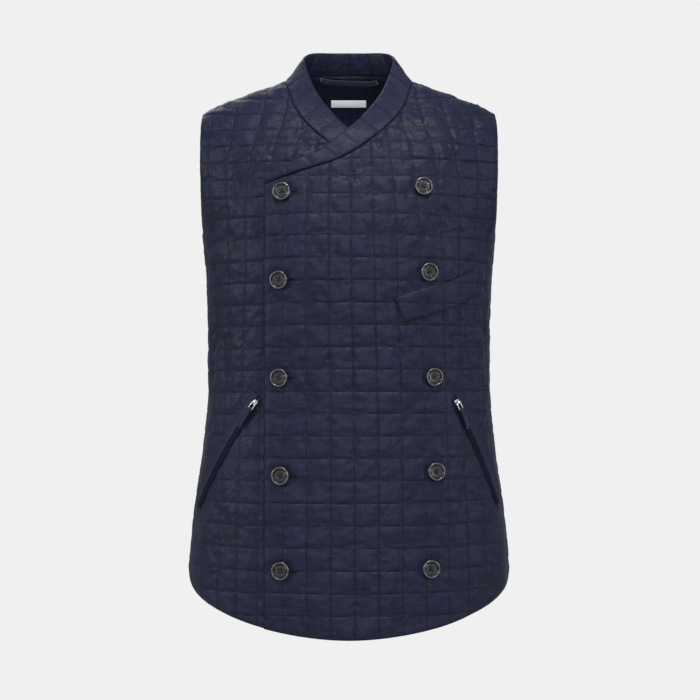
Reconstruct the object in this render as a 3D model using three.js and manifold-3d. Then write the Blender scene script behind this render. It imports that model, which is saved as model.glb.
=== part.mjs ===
// A quilted, double-breasted vest in its worn, hollow form.
// Millimetres. +X to the wearer's left, -Y to the front, +Z up.
// The origin lies midway between the two neck points, where shoulders and collar meet.
import * as THREE from "three";
import { mergeVertices } from "three/addons/utils/BufferGeometryUtils.js";
import Module from "manifold-3d";

const wasm = await Module();
wasm.setup();

// Cloth
const CELL = 28; // the square of the quilting
const STITCH_WALL = 1.6; // wall along a stitch line
const CROWN_WALL = 3.4; // wall at the middle of a padded square
const PRESSED_WALL = 2.2; // the same, under a button or a pocket strip
const SEAM = 0.3; // gap between two pieces at a seam
const LAP = 5.4; // how far the upper front stands off the one under it
const LAP_FADE = { near: 112, far: 165, low: -88, high: -40 }; // walk and height it ends by

// Fronts and hem
const LAP_EDGE = 104; // free edge of a front, past the centre line
const UNDER_EDGE = 112;
const HEM_CENTRE = -713;
const HEM_SIDE = -632;
const BACK_HEM_CENTRE = -717;
const HEM_CURVE = 1.85;

// Armhole, an oval seen from the side
const ARMHOLE_TOP = -45;
const ARMHOLE_FOOT = -198;
const ARMHOLE_FRONT = 58;
const ARMHOLE_BACK = 62;

// Buttons
const BUTTON_RADIUS = 11.5;
const BUTTON_HEIGHT = 4.2;

// The body of the vest by height: half width, depth to the front and to the back.
const BODY_COLUMNS = ["z", "half", "front", "back"];
const BODY_ROWS = [
  [48, 50, 12, 66],
  [30, 59, 15, 70],
  [12, 68.5, 19, 75],
  [0, 74, 25, 82],
  [-8, 93, 33.3, 86.7],
  [-22, 130, 48, 95],
  [-39, 174, 62, 102],
  [-48, 188, 69, 106],
  [-75, 189.5, 88, 113],
  [-110, 189.5, 104, 119],
  [-150, 188.5, 116, 123],
  [-198, 187.5, 125, 124],
  [-260, 182.5, 128, 119],
  [-340, 180, 127, 109],
  [-400, 180, 128, 105],
  [-480, 187, 132, 112],
  [-560, 198.5, 136, 122],
  [-640, 205.5, 139, 130],
  [-730, 209.5, 142, 136],
];
const SECTION_POWER = 2.3; // 2 would be an ellipse; more is squarer

// How the cloth lies by height of its own measure: ease is the widening of a square,
// lean the shift of the upright lines to the neck, rise that of the level lines at the side.
const LIE_COLUMNS = ["v", "ease", "lean", "rise"];
const LIE_ROWS = [
  [100, 0, 30, 0],
  [20, 0, 28, 0],
  [-35, 0, 19, 0],
  [-70, 0, 11, 0],
  [-100, 0, 7, 0],
  [-145, 0, 3, -3],
  [-205, 0.003, 0, -8],
  [-240, 0.006, 0, -9],
  [-310, 0.016, 0, -4],
  [-380, 0.035, 0, 0],
  [-480, 0.05, 0, 5],
  [-560, 0.055, 0, 7],
  [-730, 0.06, 0, 9],
];

// The collar band from the middle of the back to its front end: the seam's x and z on
// the body, and its upper edge in space.
const COLLAR_COLUMNS = ["face", "seamX", "seamZ", "edgeX", "edgeY", "edgeZ", "lap"];
const COLLAR_ROWS = [
  [1, 0, 12, 0, 69, 42.5, 0],
  [1, 26, 11.5, 21, 67, 42.2, 0],
  [1, 50, 9, 41, 56, 41.2, 0],
  [1, 68, 5, 53.5, 38, 37, 0],
  [0, 77, -1.4, 58, 14, 27, 0],
  [-1, 76, -18, 52, -11, 5, 0],
  [-1, 67.5, -41, 42, -35, -19, 0],
  [-1, 52.4, -63, 27, -58, -41, 0.1],
  [-1, 30, -84, 9, -78, -62, 0.8],
  [-1, 8, -100, -12, -91, -79, 1],
  [-1, -20, -114, -37, -99.5, -98.4, 1],
  [-1, -60, -126.5, -68, -103.5, -112, 1],
  [-1, -104.5, -142, -105, -103, -131.4, 1],
];

const lerp = THREE.MathUtils.lerp;
const smooth = (from, to, x) => THREE.MathUtils.smoothstep(x, from, to);

// Smooth functions through the rows of a table, one for each column after the first.
// Each is a cubic between rows, level where the column turns, so it never overshoots.
function tableOf(columns, rows) {
  const sorted = [...rows].sort((a, b) => a[0] - b[0]);
  const x = sorted.map((row) => row[0]);
  const made = {};
  columns.slice(1).forEach((name, k) => {
    const y = sorted.map((row) => row[k + 1]);
    const rise = x.slice(1).map((_, i) => (y[i + 1] - y[i]) / (x[i + 1] - x[i]));
    const slope = x.map((_, i) => {
      if (i === 0) return rise[0];
      if (i === x.length - 1) return rise[i - 1];
      const [p, q] = [rise[i - 1], rise[i]];
      return p * q <= 0 ? 0 : (2 * p * q) / (p + q);
    });
    made[name] = (at) => {
      const t = Math.min(Math.max(at, x[0]), x[x.length - 1]);
      let i = 0;
      while (i < x.length - 2 && t > x[i + 1]) i += 1;
      const h = x[i + 1] - x[i];
      const f = (t - x[i]) / h;
      const g = 1 - f;
      return (
        y[i] * g * g * (1 + 2 * f) + y[i + 1] * f * f * (3 - 2 * f) +
        h * (slope[i] * f * g * g - slope[i + 1] * f * f * g)
      );
    };
  });
  return made;
}

const body = tableOf(BODY_COLUMNS, BODY_ROWS);
const lie = tableOf(LIE_COLUMNS, LIE_ROWS);

// How deep the armhole's edge lies in front of (face -1) or behind (face 1) the side line.
function armholeDepth(face, z) {
  const middle = (ARMHOLE_TOP + ARMHOLE_FOOT) / 2;
  const t = (z - middle) / ((ARMHOLE_TOP - ARMHOLE_FOOT) / 2);
  if (Math.abs(t) >= 1) return 0;
  const reach = face < 0 ? ARMHOLE_FRONT : ARMHOLE_BACK;
  return reach * Math.pow(1 - Math.abs(t) ** SECTION_POWER, 1 / SECTION_POWER);
}

// Reach in x and depth in y of the superellipse that passes the armhole's edge, or the
// side line, at the body's half width.
function sizesAt(face, z) {
  const depth = face < 0 ? body.front(z) : body.back(z);
  const share = 1 - (armholeDepth(face, z) / depth) ** SECTION_POWER;
  return { reach: body.half(z) / share ** (1 / SECTION_POWER), depth };
}

// The half section at one height: a superellipse from the middle of the front or back to
// its side edge, as x and y along it with the length walked so far.
const ARC_STEPS = 90;
const STEPS_PAST_SIDE = 12;
function sectionAt(face, z) {
  const { reach, depth } = sizesAt(face, z);
  const power = 2 / SECTION_POWER;
  const points = [];
  let walked = 0;
  for (let i = 0; i <= ARC_STEPS + STEPS_PAST_SIDE; i += 1) {
    const turn = (i / ARC_STEPS) * (Math.PI / 2);
    const x = reach * Math.abs(Math.sin(turn)) ** power;
    const y = depth * Math.sign(Math.cos(turn)) * Math.abs(Math.cos(turn)) ** power;
    if (i > 0) walked += Math.hypot(x - points[i - 1].x, y - points[i - 1].y);
    points.push({ x, y, walked });
  }
  return points;
}

function along(points, key, value) {
  let i = 1;
  while (i < points.length - 1 && points[i][key] < value) i += 1;
  const [a, b] = [points[i - 1], points[i]];
  const f = (value - a[key]) / (b[key] - a[key]);
  return { x: lerp(a.x, b.x, f), y: lerp(a.y, b.y, f), walked: lerp(a.walked, b.walked, f) };
}

// Length along the section from the middle to x, and from the middle to the side edge.
function walkTo(face, x, z) {
  const rising = sectionAt(face, z).slice(0, ARC_STEPS + 1);
  return Math.sign(x) * along(rising, "x", Math.min(Math.abs(x), rising[ARC_STEPS].x)).walked;
}
const walkToSide = (face, z) => walkTo(face, body.half(z) - 0.001, z);

// Outward normal of the body, from the slope of its superellipse form.
function normalAt(face, x, y, z) {
  const form = (px, py, pz) => {
    const { reach, depth } = sizesAt(face, pz);
    return Math.abs(px / reach) ** SECTION_POWER + Math.abs(py / depth) ** SECTION_POWER;
  };
  const step = 0.5;
  return new THREE.Vector3(
    form(x + step, y, z) - form(x - step, y, z),
    form(x, y + step, z) - form(x, y - step, z),
    form(x, y, z + step) - form(x, y, z - step),
  ).normalize();
}

// A point on the body, walked from the middle of the face at one height, moved out.
function bodyPoint(face, walk, z, out = 0) {
  const at = along(sectionAt(face, z), "walked", Math.abs(walk));
  const x = Math.sign(walk) * at.x;
  const y = face * at.y;
  return new THREE.Vector3(x, y, z).addScaledVector(normalAt(face, x, y, z), out);
}
const bodyPointAtX = (face, x, z, out = 0) => bodyPoint(face, walkTo(face, x, z), z, out);

// Height of the level cloth line v: upright below the chest, falling back over it.
const FALL = 0.25;
const FALL_FROM = -235;
const FALL_OVER = 140;
function heightOf(v) {
  const t = Math.max(0, v - FALL_FROM);
  const u = Math.min(1, t / FALL_OVER);
  return v - FALL * (FALL_OVER * (u ** 3 - u ** 4 / 2) + Math.max(0, t - FALL_OVER));
}
function clothHeightOf(z) {
  let v = z;
  for (let i = 0; i < 40; i += 1) v += z - heightOf(v);
  return v;
}

// A panel of cloth: where a point (u, v) of its flat measure comes to lie, and back.
const LEAN_FULL = 80;
const LEAN_EASES = [120, 190];
const RISE_REACH = 270;
function panelOf(face, easeFrom, lapOf) {
  const leanAt = (u) =>
    Math.sign(u) * smooth(0, LEAN_FULL, Math.abs(u)) * (1 - 0.5 * smooth(...LEAN_EASES, Math.abs(u)));
  const lieAt = (u, v) => ({
    walk: u + lie.ease(v) * (u - easeFrom) - lie.lean(v) * leanAt(u),
    z: heightOf(v) + lie.rise(v) * (u / RISE_REACH) ** 2,
  });
  const flatten = (walk, z) => {
    let [u, v] = [walk, clothHeightOf(z)];
    for (let i = 0; i < 60; i += 1) {
      const at = lieAt(u, v);
      u += 0.8 * (walk - at.walk);
      v += 0.8 * (z - at.z);
    }
    return new THREE.Vector2(u, v);
  };
  const place = (u, v, out) => {
    const { walk, z } = lieAt(u, v);
    return bodyPoint(face, walk, z, out + lapOf(walk, z));
  };
  return {
    face,
    place,
    flatten,
    flattenX: (x, z) => flatten(walkTo(face, x, z), z),
  };
}

const upperLap = (walk, z) =>
  LAP * (1 - smooth(LAP_FADE.near, LAP_FADE.far, walk)) * (1 - smooth(LAP_FADE.low, LAP_FADE.high, z));
const backPanel = panelOf(1, 0, () => 0);
const leftPanel = panelOf(-1, -81, upperLap);
const rightPanel = panelOf(-1, 81, () => 0);

// Turns a closed three.js geometry into a solid for cutting. With keepPoints, each
// triangle has its own face number, so the points inside a flat face stay.
function solidOf(geometry, keepPoints = false) {
  const bare = geometry.clone();
  bare.deleteAttribute("normal");
  bare.deleteAttribute("uv");
  const merged = mergeVertices(bare, 1e-4);
  const triVerts = new Uint32Array(merged.index.array);
  const mesh = { numProp: 3, vertProperties: merged.attributes.position.array, triVerts };
  if (keepPoints) mesh.faceID = triVerts.slice(0, triVerts.length / 3).map((_, i) => i);
  return new wasm.Manifold(new wasm.Mesh(mesh));
}

// Turns a solid back into a geometry, each of its points moved by a function.
function geometryOf(solid, move = (point) => point) {
  const { numProp, vertProperties, triVerts } = solid.getMesh();
  const geometry = new THREE.BufferGeometry();
  const position = new Float32Array((vertProperties.length / numProp) * 3);
  for (let i = 0; i < vertProperties.length / numProp; i += 1) {
    const [x, y, z] = vertProperties.subarray(i * numProp, i * numProp + 3);
    move(new THREE.Vector3(x, y, z)).toArray(position, i * 3);
  }
  geometry.setAttribute("position", new THREE.BufferAttribute(position, 3));
  geometry.setIndex([...triVerts]);
  return finished(geometry);
}

function finished(geometry) {
  const flat = geometry.index ? geometry.toNonIndexed() : geometry;
  flat.computeVertexNormals();
  return flat;
}

// A flat sheet of quilting around an outline: each square is a low pyramid over a plain
// underside, which has the pyramids' own triangles where it lies on another piece.
function quiltedSheet(outline, phase, base, stitchOf, crownOf) {
  const us = outline.map((p) => p.x);
  const vs = outline.map((p) => p.y);
  const first = [
    Math.floor((Math.min(...us) - phase.x) / CELL) - 1,
    Math.floor((Math.min(...vs) - phase.y) / CELL) - 1,
  ];
  const count = [
    Math.ceil((Math.max(...us) - phase.x) / CELL) + 1 - first[0],
    Math.ceil((Math.max(...vs) - phase.y) / CELL) + 1 - first[1],
  ];
  const positions = [];
  const corner = (i, j, top) => {
    const u = phase.x + (first[0] + i) * CELL;
    const v = phase.y + (first[1] + j) * CELL;
    return [u, v, top ? base + stitchOf(u, v) : base];
  };
  const middle = (i, j) => {
    const u = phase.x + (first[0] + i + 0.5) * CELL;
    const v = phase.y + (first[1] + j + 0.5) * CELL;
    return [u, v, base + crownOf(u, v)];
  };
  const face = (...points) => points.forEach((p) => positions.push(...p));
  for (let i = 0; i < count[0]; i += 1) {
    for (let j = 0; j < count[1]; j += 1) {
      const ring = [[i, j], [i + 1, j], [i + 1, j + 1], [i, j + 1]];
      ring.forEach((from, k) => {
        const to = ring[(k + 1) % 4];
        face(corner(...from, true), corner(...to, true), middle(i, j));
      });
      const under = ring.map((at) => corner(...at, false));
      if (base > 0) {
        const centre = middle(i, j).with(2, base);
        under.forEach((at, k) => face(under[(k + 1) % 4], at, centre));
      } else {
        face(under[2], under[1], under[0]);
        face(under[3], under[2], under[0]);
      }
    }
  }
  const wall = (from, to) => {
    face(corner(...from, false), corner(...to, false), corner(...to, true));
    face(corner(...from, false), corner(...to, true), corner(...from, true));
  };
  for (let i = 0; i < count[0]; i += 1) {
    wall([i, 0], [i + 1, 0]);
    wall([i + 1, count[1]], [i, count[1]]);
  }
  for (let j = 0; j < count[1]; j += 1) {
    wall([count[0], j], [count[0], j + 1]);
    wall([0, j + 1], [0, j]);
  }
  const geometry = new THREE.BufferGeometry();
  geometry.setAttribute("position", new THREE.Float32BufferAttribute(positions, 3));
  return geometry;
}

// Quilted cloth of one panel, cut to an outline in the cloth's flat measure and laid on
// the body.
function quiltedPiece(panel, outline, phase, base, stitchOf, crownOf) {
  const sheet = solidOf(quiltedSheet(outline, phase, base, stitchOf, crownOf), true);
  const height = 40;
  const cutter = new THREE.ExtrudeGeometry(new THREE.Shape(outline), {
    depth: height,
    bevelEnabled: false,
  }).translate(0, 0, -height / 2);
  const cut = sheet.intersect(solidOf(cutter, true));
  const laid = geometryOf(cut, (p) => panel.place(p.x, p.y, p.z));
  return panel.face < 0 ? laid : finished(turnedInsideOut(laid));
}

// A closed loft: the same convex ring of points at each station, with flat ends.
function loft(stationCount, ring, place) {
  const positions = [];
  const rings = [];
  for (let i = 0; i < stationCount; i += 1) {
    rings.push(ring.map((point) => place(i / (stationCount - 1), point[0], point[1])));
  }
  const face = (...points) => points.forEach((p) => positions.push(p.x, p.y, p.z));
  for (let i = 0; i < stationCount - 1; i += 1) {
    ring.forEach((_, k) => {
      const next = (k + 1) % ring.length;
      face(rings[i][k], rings[i][next], rings[i + 1][next]);
      face(rings[i][k], rings[i + 1][next], rings[i + 1][k]);
    });
  }
  const last = rings[stationCount - 1];
  for (let k = 1; k < ring.length - 1; k += 1) {
    face(rings[0][0], rings[0][k + 1], rings[0][k]);
    face(last[0], last[k], last[k + 1]);
  }
  const geometry = new THREE.BufferGeometry();
  geometry.setAttribute("position", new THREE.Float32BufferAttribute(positions, 3));
  return solidOf(geometry).volume() > 0 ? finished(geometry) : finished(turnedInsideOut(geometry));
}

function turnedInsideOut(geometry) {
  const p = geometry.attributes.position;
  const turned = [];
  for (let i = 0; i < p.count; i += 3) {
    for (const k of [i, i + 2, i + 1]) turned.push(p.getX(k), p.getY(k), p.getZ(k));
  }
  const made = new THREE.BufferGeometry();
  return made.setAttribute("position", new THREE.Float32BufferAttribute(turned, 3));
}

// Materials
const navyNylon = () => new THREE.MeshStandardMaterial({ color: 0x2b2f42, roughness: 0.55 });
const navyTape = () => new THREE.MeshStandardMaterial({ color: 0x23273a, roughness: 0.8 });
const darkHorn = () => new THREE.MeshStandardMaterial({ color: 0x17181d, roughness: 0.25 });
const whiteSatin = () => new THREE.MeshStandardMaterial({ color: 0xe9ecf0, roughness: 0.6 });
const silverMetal = () =>
  new THREE.MeshStandardMaterial({ color: 0xc9cbcb, roughness: 0.3, metalness: 1 });

const vest = new THREE.Group();
function add(name, geometry, material, parent = vest) {
  const mesh = new THREE.Mesh(geometry, material);
  mesh.name = name;
  parent.add(mesh);
  return mesh;
}

// Collar
const collarRows = COLLAR_ROWS.map((row) =>
  Object.fromEntries(COLLAR_COLUMNS.map((name, i) => [name, row[i]])),
);
const NECK_POINT = { z: -1.4, gap: 0.5 };

// The seam between collar and panel on one face: walk and height, from the side neck
// point inwards, as a smooth curve through the table's rows.
function seamLine(face, side) {
  const rows = collarRows.filter((row) => row.face === face);
  if (face > 0) rows.reverse();
  const knots = rows.map((row) => new THREE.Vector2(walkTo(face, row.seamX, row.seamZ), row.seamZ));
  knots.unshift(new THREE.Vector2(walkToSide(face, NECK_POINT.z) - NECK_POINT.gap, NECK_POINT.z));
  const points = new THREE.SplineCurve(knots).getSpacedPoints(face < 0 ? 28 : 14);
  points.forEach((p) => p.setX(p.x * side));
  return points;
}

// One side of the band as two smooth curves, seam and upper edge, both by the table's
// rows; the side that laps over (1) stands off the other (-1).
const COLLAR_STAND = 3; // of the seam, off the body
const COLLAR_LAP = 9; // of the upper band's edge, off the one under it
function collarSide(side) {
  const seamPoints = [
    ...seamLine(1, side).slice(1).reverse().map((p) => bodyPoint(1, p.x, p.y, COLLAR_STAND)),
    ...seamLine(-1, side).map((p) => {
      const lap = side > 0 ? upperLap(p.x, p.y) : 0;
      return bodyPoint(-1, p.x, p.y, COLLAR_STAND + lap);
    }),
  ];
  const seam = new THREE.CatmullRomCurve3(seamPoints, false, "centripetal");
  const edgePoints = collarRows.map((row) => {
    const lap = side > 0 ? row.lap * COLLAR_LAP : 0;
    return new THREE.Vector3(row.edgeX * side, row.edgeY - lap, row.edgeZ);
  });
  const edge = new THREE.CatmullRomCurve3(edgePoints, false, "centripetal");
  // Share of the seam's length at which each row lies.
  const shares = collarRows.map((row) => {
    const onBody = (face) => bodyPointAtX(face, row.seamX * side, row.seamZ);
    const at = row.face ? onBody(row.face) : new THREE.Vector3(row.seamX * side, 0, row.seamZ);
    const steps = 400;
    let best = 0;
    for (let k = 1; k <= steps; k += 1) {
      const nearer = seam.getPointAt(k / steps).distanceTo(at) < seam.getPointAt(best / steps).distanceTo(at);
      if (nearer) best = k;
    }
    return best / steps;
  });
  const edgeAt = (f) => {
    let i = 1;
    while (i < shares.length - 1 && shares[i] < f) i += 1;
    const between = (f - shares[i - 1]) / (shares[i] - shares[i - 1]);
    return edge.getPoint((i - 1 + between) / (shares.length - 1));
  };
  return { seam, edgeAt };
}
const collarSides = { left: collarSide(1), right: collarSide(-1) };

// Across the band: share of its width from the seam, and half thickness there.
const COLLAR_PROFILE = [
  [0, 0.8],
  [0.12, 1.9],
  [0.5, 2.3],
  [0.88, 1.9],
  [1, 0.9],
];
const COLLAR_CELLS = 13; // on each side of the middle of the back
const COLLAR_STITCHED = 0.55; // share of the thickness along a cross stitch line
function collarGeometry() {
  const stations = COLLAR_CELLS * 4 + 1;
  const inner = [...COLLAR_PROFILE].reverse().map(([share, half]) => [share, -half]);
  const ring = [...COLLAR_PROFILE, ...inner];
  return loft(stations, ring, (t, share, half) => {
    const side = t < 0.5 ? collarSides.right : collarSides.left;
    const f = Math.abs(t - 0.5) * 2;
    const seam = side.seam.getPointAt(f);
    const ahead = side.seam.getTangentAt(f).multiplyScalar(t < 0.5 ? -1 : 1);
    const across = side.edgeAt(f).sub(seam);
    const out = ahead.clone().cross(across).normalize();
    const onStitch = Math.round(f * COLLAR_CELLS * 2) % 2 === 0;
    const puff = onStitch && share > 0 && share < 1 ? COLLAR_STITCHED : 1;
    return seam.addScaledVector(across, share).addScaledVector(out, half * puff);
  });
}
add("collar", collarGeometry(), navyNylon());

// Outline of a panel
const NECK_CLEARANCE = 0.9;

// Neckline of a face, from the side neck point inwards, just outside the collar's seam.
function neckline(face, panel, side) {
  const points = seamLine(face, side);
  return points.map((p, i) => {
    const ahead = points[Math.min(i + 1, points.length - 1)].clone();
    const away = ahead.sub(points[Math.max(i - 1, 0)]).normalize().multiplyScalar(side * NECK_CLEARANCE);
    return panel.flatten(p.x - away.y, p.y + away.x);
  });
}

// The side edge of a panel from the neck point down to the hem: shoulder seam, armhole,
// side seam.
const SHOULDER_STEP = 3;
const ARMHOLE_STEPS = 14;
function sideEdge(face, panel, side) {
  const heights = [];
  for (let z = NECK_POINT.z - 0.6; z > ARMHOLE_TOP + 1; z -= SHOULDER_STEP) heights.push(z);
  for (let k = 0; k <= ARMHOLE_STEPS; k += 1) {
    const turn = (k / ARMHOLE_STEPS) * Math.PI;
    const middle = (ARMHOLE_TOP + ARMHOLE_FOOT) / 2;
    heights.push(middle + ((ARMHOLE_TOP - ARMHOLE_FOOT) / 2) * Math.cos(turn));
  }
  for (let z = ARMHOLE_FOOT - CELL / 2; z > HEM_SIDE + CELL / 4; z -= CELL / 2) heights.push(z);
  heights.push(HEM_SIDE);
  return heights.map((z) => panel.flatten(side * (walkToSide(face, z) - SEAM * 0.8), z));
}

// The hem from the side seam to a given walk from the middle.
const HEM_STEPS = 22;
function hemEdge(face, panel, side, centre, endWalk) {
  const full = walkToSide(face, HEM_SIDE);
  const points = [];
  for (let k = 1; k <= HEM_STEPS; k += 1) {
    const walk = lerp(full, endWalk, k / HEM_STEPS);
    const z = centre + (HEM_SIDE - centre) * Math.abs(walk / full) ** HEM_CURVE;
    points.push(panel.flatten(side * walk, z));
  }
  return points;
}

const FREE_EDGE_FOOT = -700;
function frontOutline(panel, side, edgeX) {
  const top = seamLine(-1, side).pop();
  const foot = walkTo(-1, edgeX, FREE_EDGE_FOOT);
  const points = [
    ...neckline(-1, panel, side).reverse(),
    ...sideEdge(-1, panel, side),
    ...hemEdge(-1, panel, side, HEM_CENTRE, -foot),
  ];
  for (let z = FREE_EDGE_FOOT + CELL; z < top.y - CELL / 2; z += CELL) {
    points.push(panel.flattenX(-side * edgeX, z));
  }
  points.push(panel.flattenX(-side * edgeX, top.y - 3));
  return side > 0 ? points.reverse() : points;
}

function backOutline() {
  const half = (side) => [
    ...neckline(1, backPanel, side).reverse(),
    ...sideEdge(1, backPanel, side),
    ...hemEdge(1, backPanel, side, BACK_HEM_CENTRE, 0),
  ];
  const right = half(1);
  const left = half(-1);
  return [...right, ...left.reverse().slice(1, -1)];
}

// Where the padding is pressed flat: under the buttons and along the pocket strips.
const BUTTON_PLACES = {
  a: [[-83, -153.5], [-85.5, -263], [-85, -386], [-83.5, -509], [-83.5, -627]],
  b: [[92, -147], [97.5, -253], [103.5, -385], [106, -504], [100, -625]],
};
const BUTTON_PRESSES = BUTTON_RADIUS + CELL / 2;
const POCKETS = {
  left: { panel: leftPanel, side: 1, head: [129.5, -414], foot: [187, -549], bend: 0.35 },
  right: { panel: rightPanel, side: -1, head: [113, -414], foot: [189, -554], bend: -0.2 },
};
const POCKET_PRESSES = 35;
const POCKET_SPOTS = 16;

function pressedNear(panel) {
  const spots = [];
  if (panel !== backPanel) {
    const buttons = panel === leftPanel ? Object.values(BUTTON_PLACES).flat() : [];
    buttons.forEach(([x, z]) => spots.push({ at: panel.flattenX(x, z), reach: BUTTON_PRESSES }));
    const pocket = panel === leftPanel ? POCKETS.left : POCKETS.right;
    for (let k = 0; k <= POCKET_SPOTS; k += 1) {
      const share = k / (POCKET_SPOTS - 1);
      const [x, z] = [0, 1].map((i) => lerp(pocket.head[i], pocket.foot[i], share));
      spots.push({ at: panel.flattenX(pocket.side * x, z), reach: POCKET_PRESSES });
    }
  }
  return (u, v) => spots.some(({ at, reach }) => Math.hypot(u - at.x, v - at.y) < reach);
}

function quiltOn(panel, outline, phase) {
  const pressed = pressedNear(panel);
  const crown = (u, v) => (pressed(u, v) ? PRESSED_WALL : CROWN_WALL);
  return quiltedPiece(panel, outline, phase, 0, () => STITCH_WALL, crown);
}

const QUILT_PHASE = {
  left: new THREE.Vector2(2.5, -347),
  right: new THREE.Vector2(7, -349),
  back: new THREE.Vector2(1.3, -334),
};
const leftOutline = frontOutline(leftPanel, 1, LAP_EDGE);
const rightOutline = frontOutline(rightPanel, -1, UNDER_EDGE);
add("left_front", quiltOn(leftPanel, leftOutline, QUILT_PHASE.left), navyNylon());
add("right_front", quiltOn(rightPanel, rightOutline, QUILT_PHASE.right), navyNylon());
add("back_panel", quiltOn(backPanel, backOutline(), QUILT_PHASE.back), navyNylon());

// Chest welt, its squares matched to the ones under it
const WELT_CORNERS = [
  [56, -286], [86, -275.5], [121, -264.5], [156.5, -248],
  [156.5, -278], [146, -286.5], [133.5, -295], [98.5, -307], [67.6, -316.6],
];
const CHEST_WELT = { base: CROWN_WALL + 0.35, stitch: 1.4, crown: 2.5 };
function chestWelt() {
  const outline = WELT_CORNERS.map(([x, z]) => leftPanel.flattenX(x, z)).reverse();
  const { base, stitch, crown } = CHEST_WELT;
  return quiltedPiece(leftPanel, outline, QUILT_PHASE.left, base, () => stitch, () => crown);
}
add("chest_welt", chestWelt(), navyNylon());

// Strips of the side pockets, along a slanted line on the panel: the zip's tape, and the
// welt on its outer side
const TAPE = { from: -0.02, offset: 0, half: 2.6, under: PRESSED_WALL + 0.45, thick: 1 };
const POCKET_WELT = { ...TAPE, from: -0.03, offset: 8.5, half: 5.5, thick: 2.4 };
const pocketLine = ({ panel, side, head, foot }) =>
  [head, foot].map(([x, z]) => panel.flattenX(side * x, z));

function stripOn(pocket, { from, offset, half: halfWidth, under, thick }) {
  const edge = thick * 0.35;
  const ring = [
    [-halfWidth, under],
    [halfWidth, under],
    [halfWidth, under + thick - edge],
    [halfWidth - edge, under + thick],
    [edge - halfWidth, under + thick],
    [-halfWidth, under + thick - edge],
  ];
  const line = pocketLine(pocket);
  const ahead = line[1].clone().sub(line[0]);
  const across = new THREE.Vector2(-ahead.y, ahead.x).normalize().multiplyScalar(pocket.side);
  return loft(11, ring, (t, a, out) => {
    const at = line[0].clone().addScaledVector(ahead, lerp(from, 1, t));
    at.addScaledVector(across, a + offset);
    return pocket.panel.place(at.x, at.y, out);
  });
}

// Zip slider, pull frame and the cloth tab looped through it, about the pull's hinge:
// y runs down along the zip, z away from the cloth.
const BRIDGE = { hole: 1.15, outer: 2.1, half: 2.4, base: -1.9, width: 1.8 };
const SLIDER_THICK = 2;
const FRAME = { half: 3.3, length: 10, bar: 1.1, thick: 1.1 };
const TAB = { half: 2.1, length: 24, thick: 1.3, loop: 1.8, loopHole: 1.1 };

function extrudedAcross(shape, width) {
  // The shape is drawn as (y, z) and its width lies along x.
  const made = new THREE.ExtrudeGeometry(shape, { depth: width, bevelEnabled: false, curveSegments: 8 });
  made.translate(0, 0, -width / 2);
  const turn = new THREE.Matrix4().makeBasis(
    new THREE.Vector3(0, 1, 0),
    new THREE.Vector3(0, 0, 1),
    new THREE.Vector3(1, 0, 0),
  );
  return made.applyMatrix4(turn);
}

function sliderGeometry() {
  const plan = new THREE.Shape([
    new THREE.Vector2(-2.7, -3.2), new THREE.Vector2(2.7, -3.2), new THREE.Vector2(3.3, -1.6),
    new THREE.Vector2(2.5, 4), new THREE.Vector2(-2.5, 4), new THREE.Vector2(-3.3, -1.6),
  ]);
  const plate = new THREE.ExtrudeGeometry(plan, { depth: SLIDER_THICK, bevelEnabled: false });
  plate.translate(0, 0, -SLIDER_BELOW);
  const arch = new THREE.Shape();
  arch.moveTo(-BRIDGE.half, BRIDGE.base);
  arch.lineTo(BRIDGE.half, BRIDGE.base);
  arch.absarc(0, 0, BRIDGE.outer, 0.25, Math.PI - 0.25, false);
  arch.closePath();
  arch.holes.push(new THREE.Path().absarc(0, 0, BRIDGE.hole, 0, 2 * Math.PI, true));
  return geometryOf(solidOf(plate).add(solidOf(extrudedAcross(arch, BRIDGE.width))));
}

function frameGeometry() {
  const { half, length, bar, thick } = FRAME;
  const top = -bar / 2;
  const foot = length + bar / 2;
  const box = (Type, inset) => {
    const cut = 1 - inset / 2;
    return new Type([
      new THREE.Vector2(inset - half + cut, top + inset), new THREE.Vector2(half - inset - cut, top + inset),
      new THREE.Vector2(half - inset, top + inset + cut), new THREE.Vector2(half - inset, foot - inset - cut),
      new THREE.Vector2(half - inset - cut, foot - inset), new THREE.Vector2(inset - half + cut, foot - inset),
      new THREE.Vector2(inset - half, foot - inset - cut), new THREE.Vector2(inset - half, top + inset + cut),
    ]);
  };
  const shape = box(THREE.Shape, 0);
  shape.holes.push(box(THREE.Path, bar));
  const made = new THREE.ExtrudeGeometry(shape, { depth: thick, bevelEnabled: false });
  return finished(made.translate(0, 0, -thick / 2));
}

// The tab: a loop round the frame's lower bar, and a strip that bends by a given turn.
function tabGeometry(bend) {
  const { half, length, thick } = TAB;
  const bar = FRAME.length;
  const loop = new THREE.Shape();
  loop.absarc(bar, 0, TAB.loop, 0.6, 2 * Math.PI - 0.6, false);
  loop.lineTo(bar + 5, -thick / 2);
  loop.lineTo(bar + 5, thick / 2);
  loop.closePath();
  loop.holes.push(new THREE.Path().absarc(bar, 0, TAB.loopHole, 0, 2 * Math.PI, true));
  const ring = [[-half, -thick / 2], [half, -thick / 2], [half, thick / 2], [-half, thick / 2]];
  const strip = loft(8, ring, (t, across, out) => {
    const turn = bend * t;
    const centre = new THREE.Vector2(1 - Math.cos(turn), Math.sin(turn)).multiplyScalar(length / bend);
    return new THREE.Vector3(
      centre.x + across * Math.cos(turn),
      bar + 4 + centre.y - across * Math.sin(turn),
      out,
    );
  });
  return geometryOf(solidOf(extrudedAcross(loop, 2 * half)).add(solidOf(strip)));
}

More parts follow.
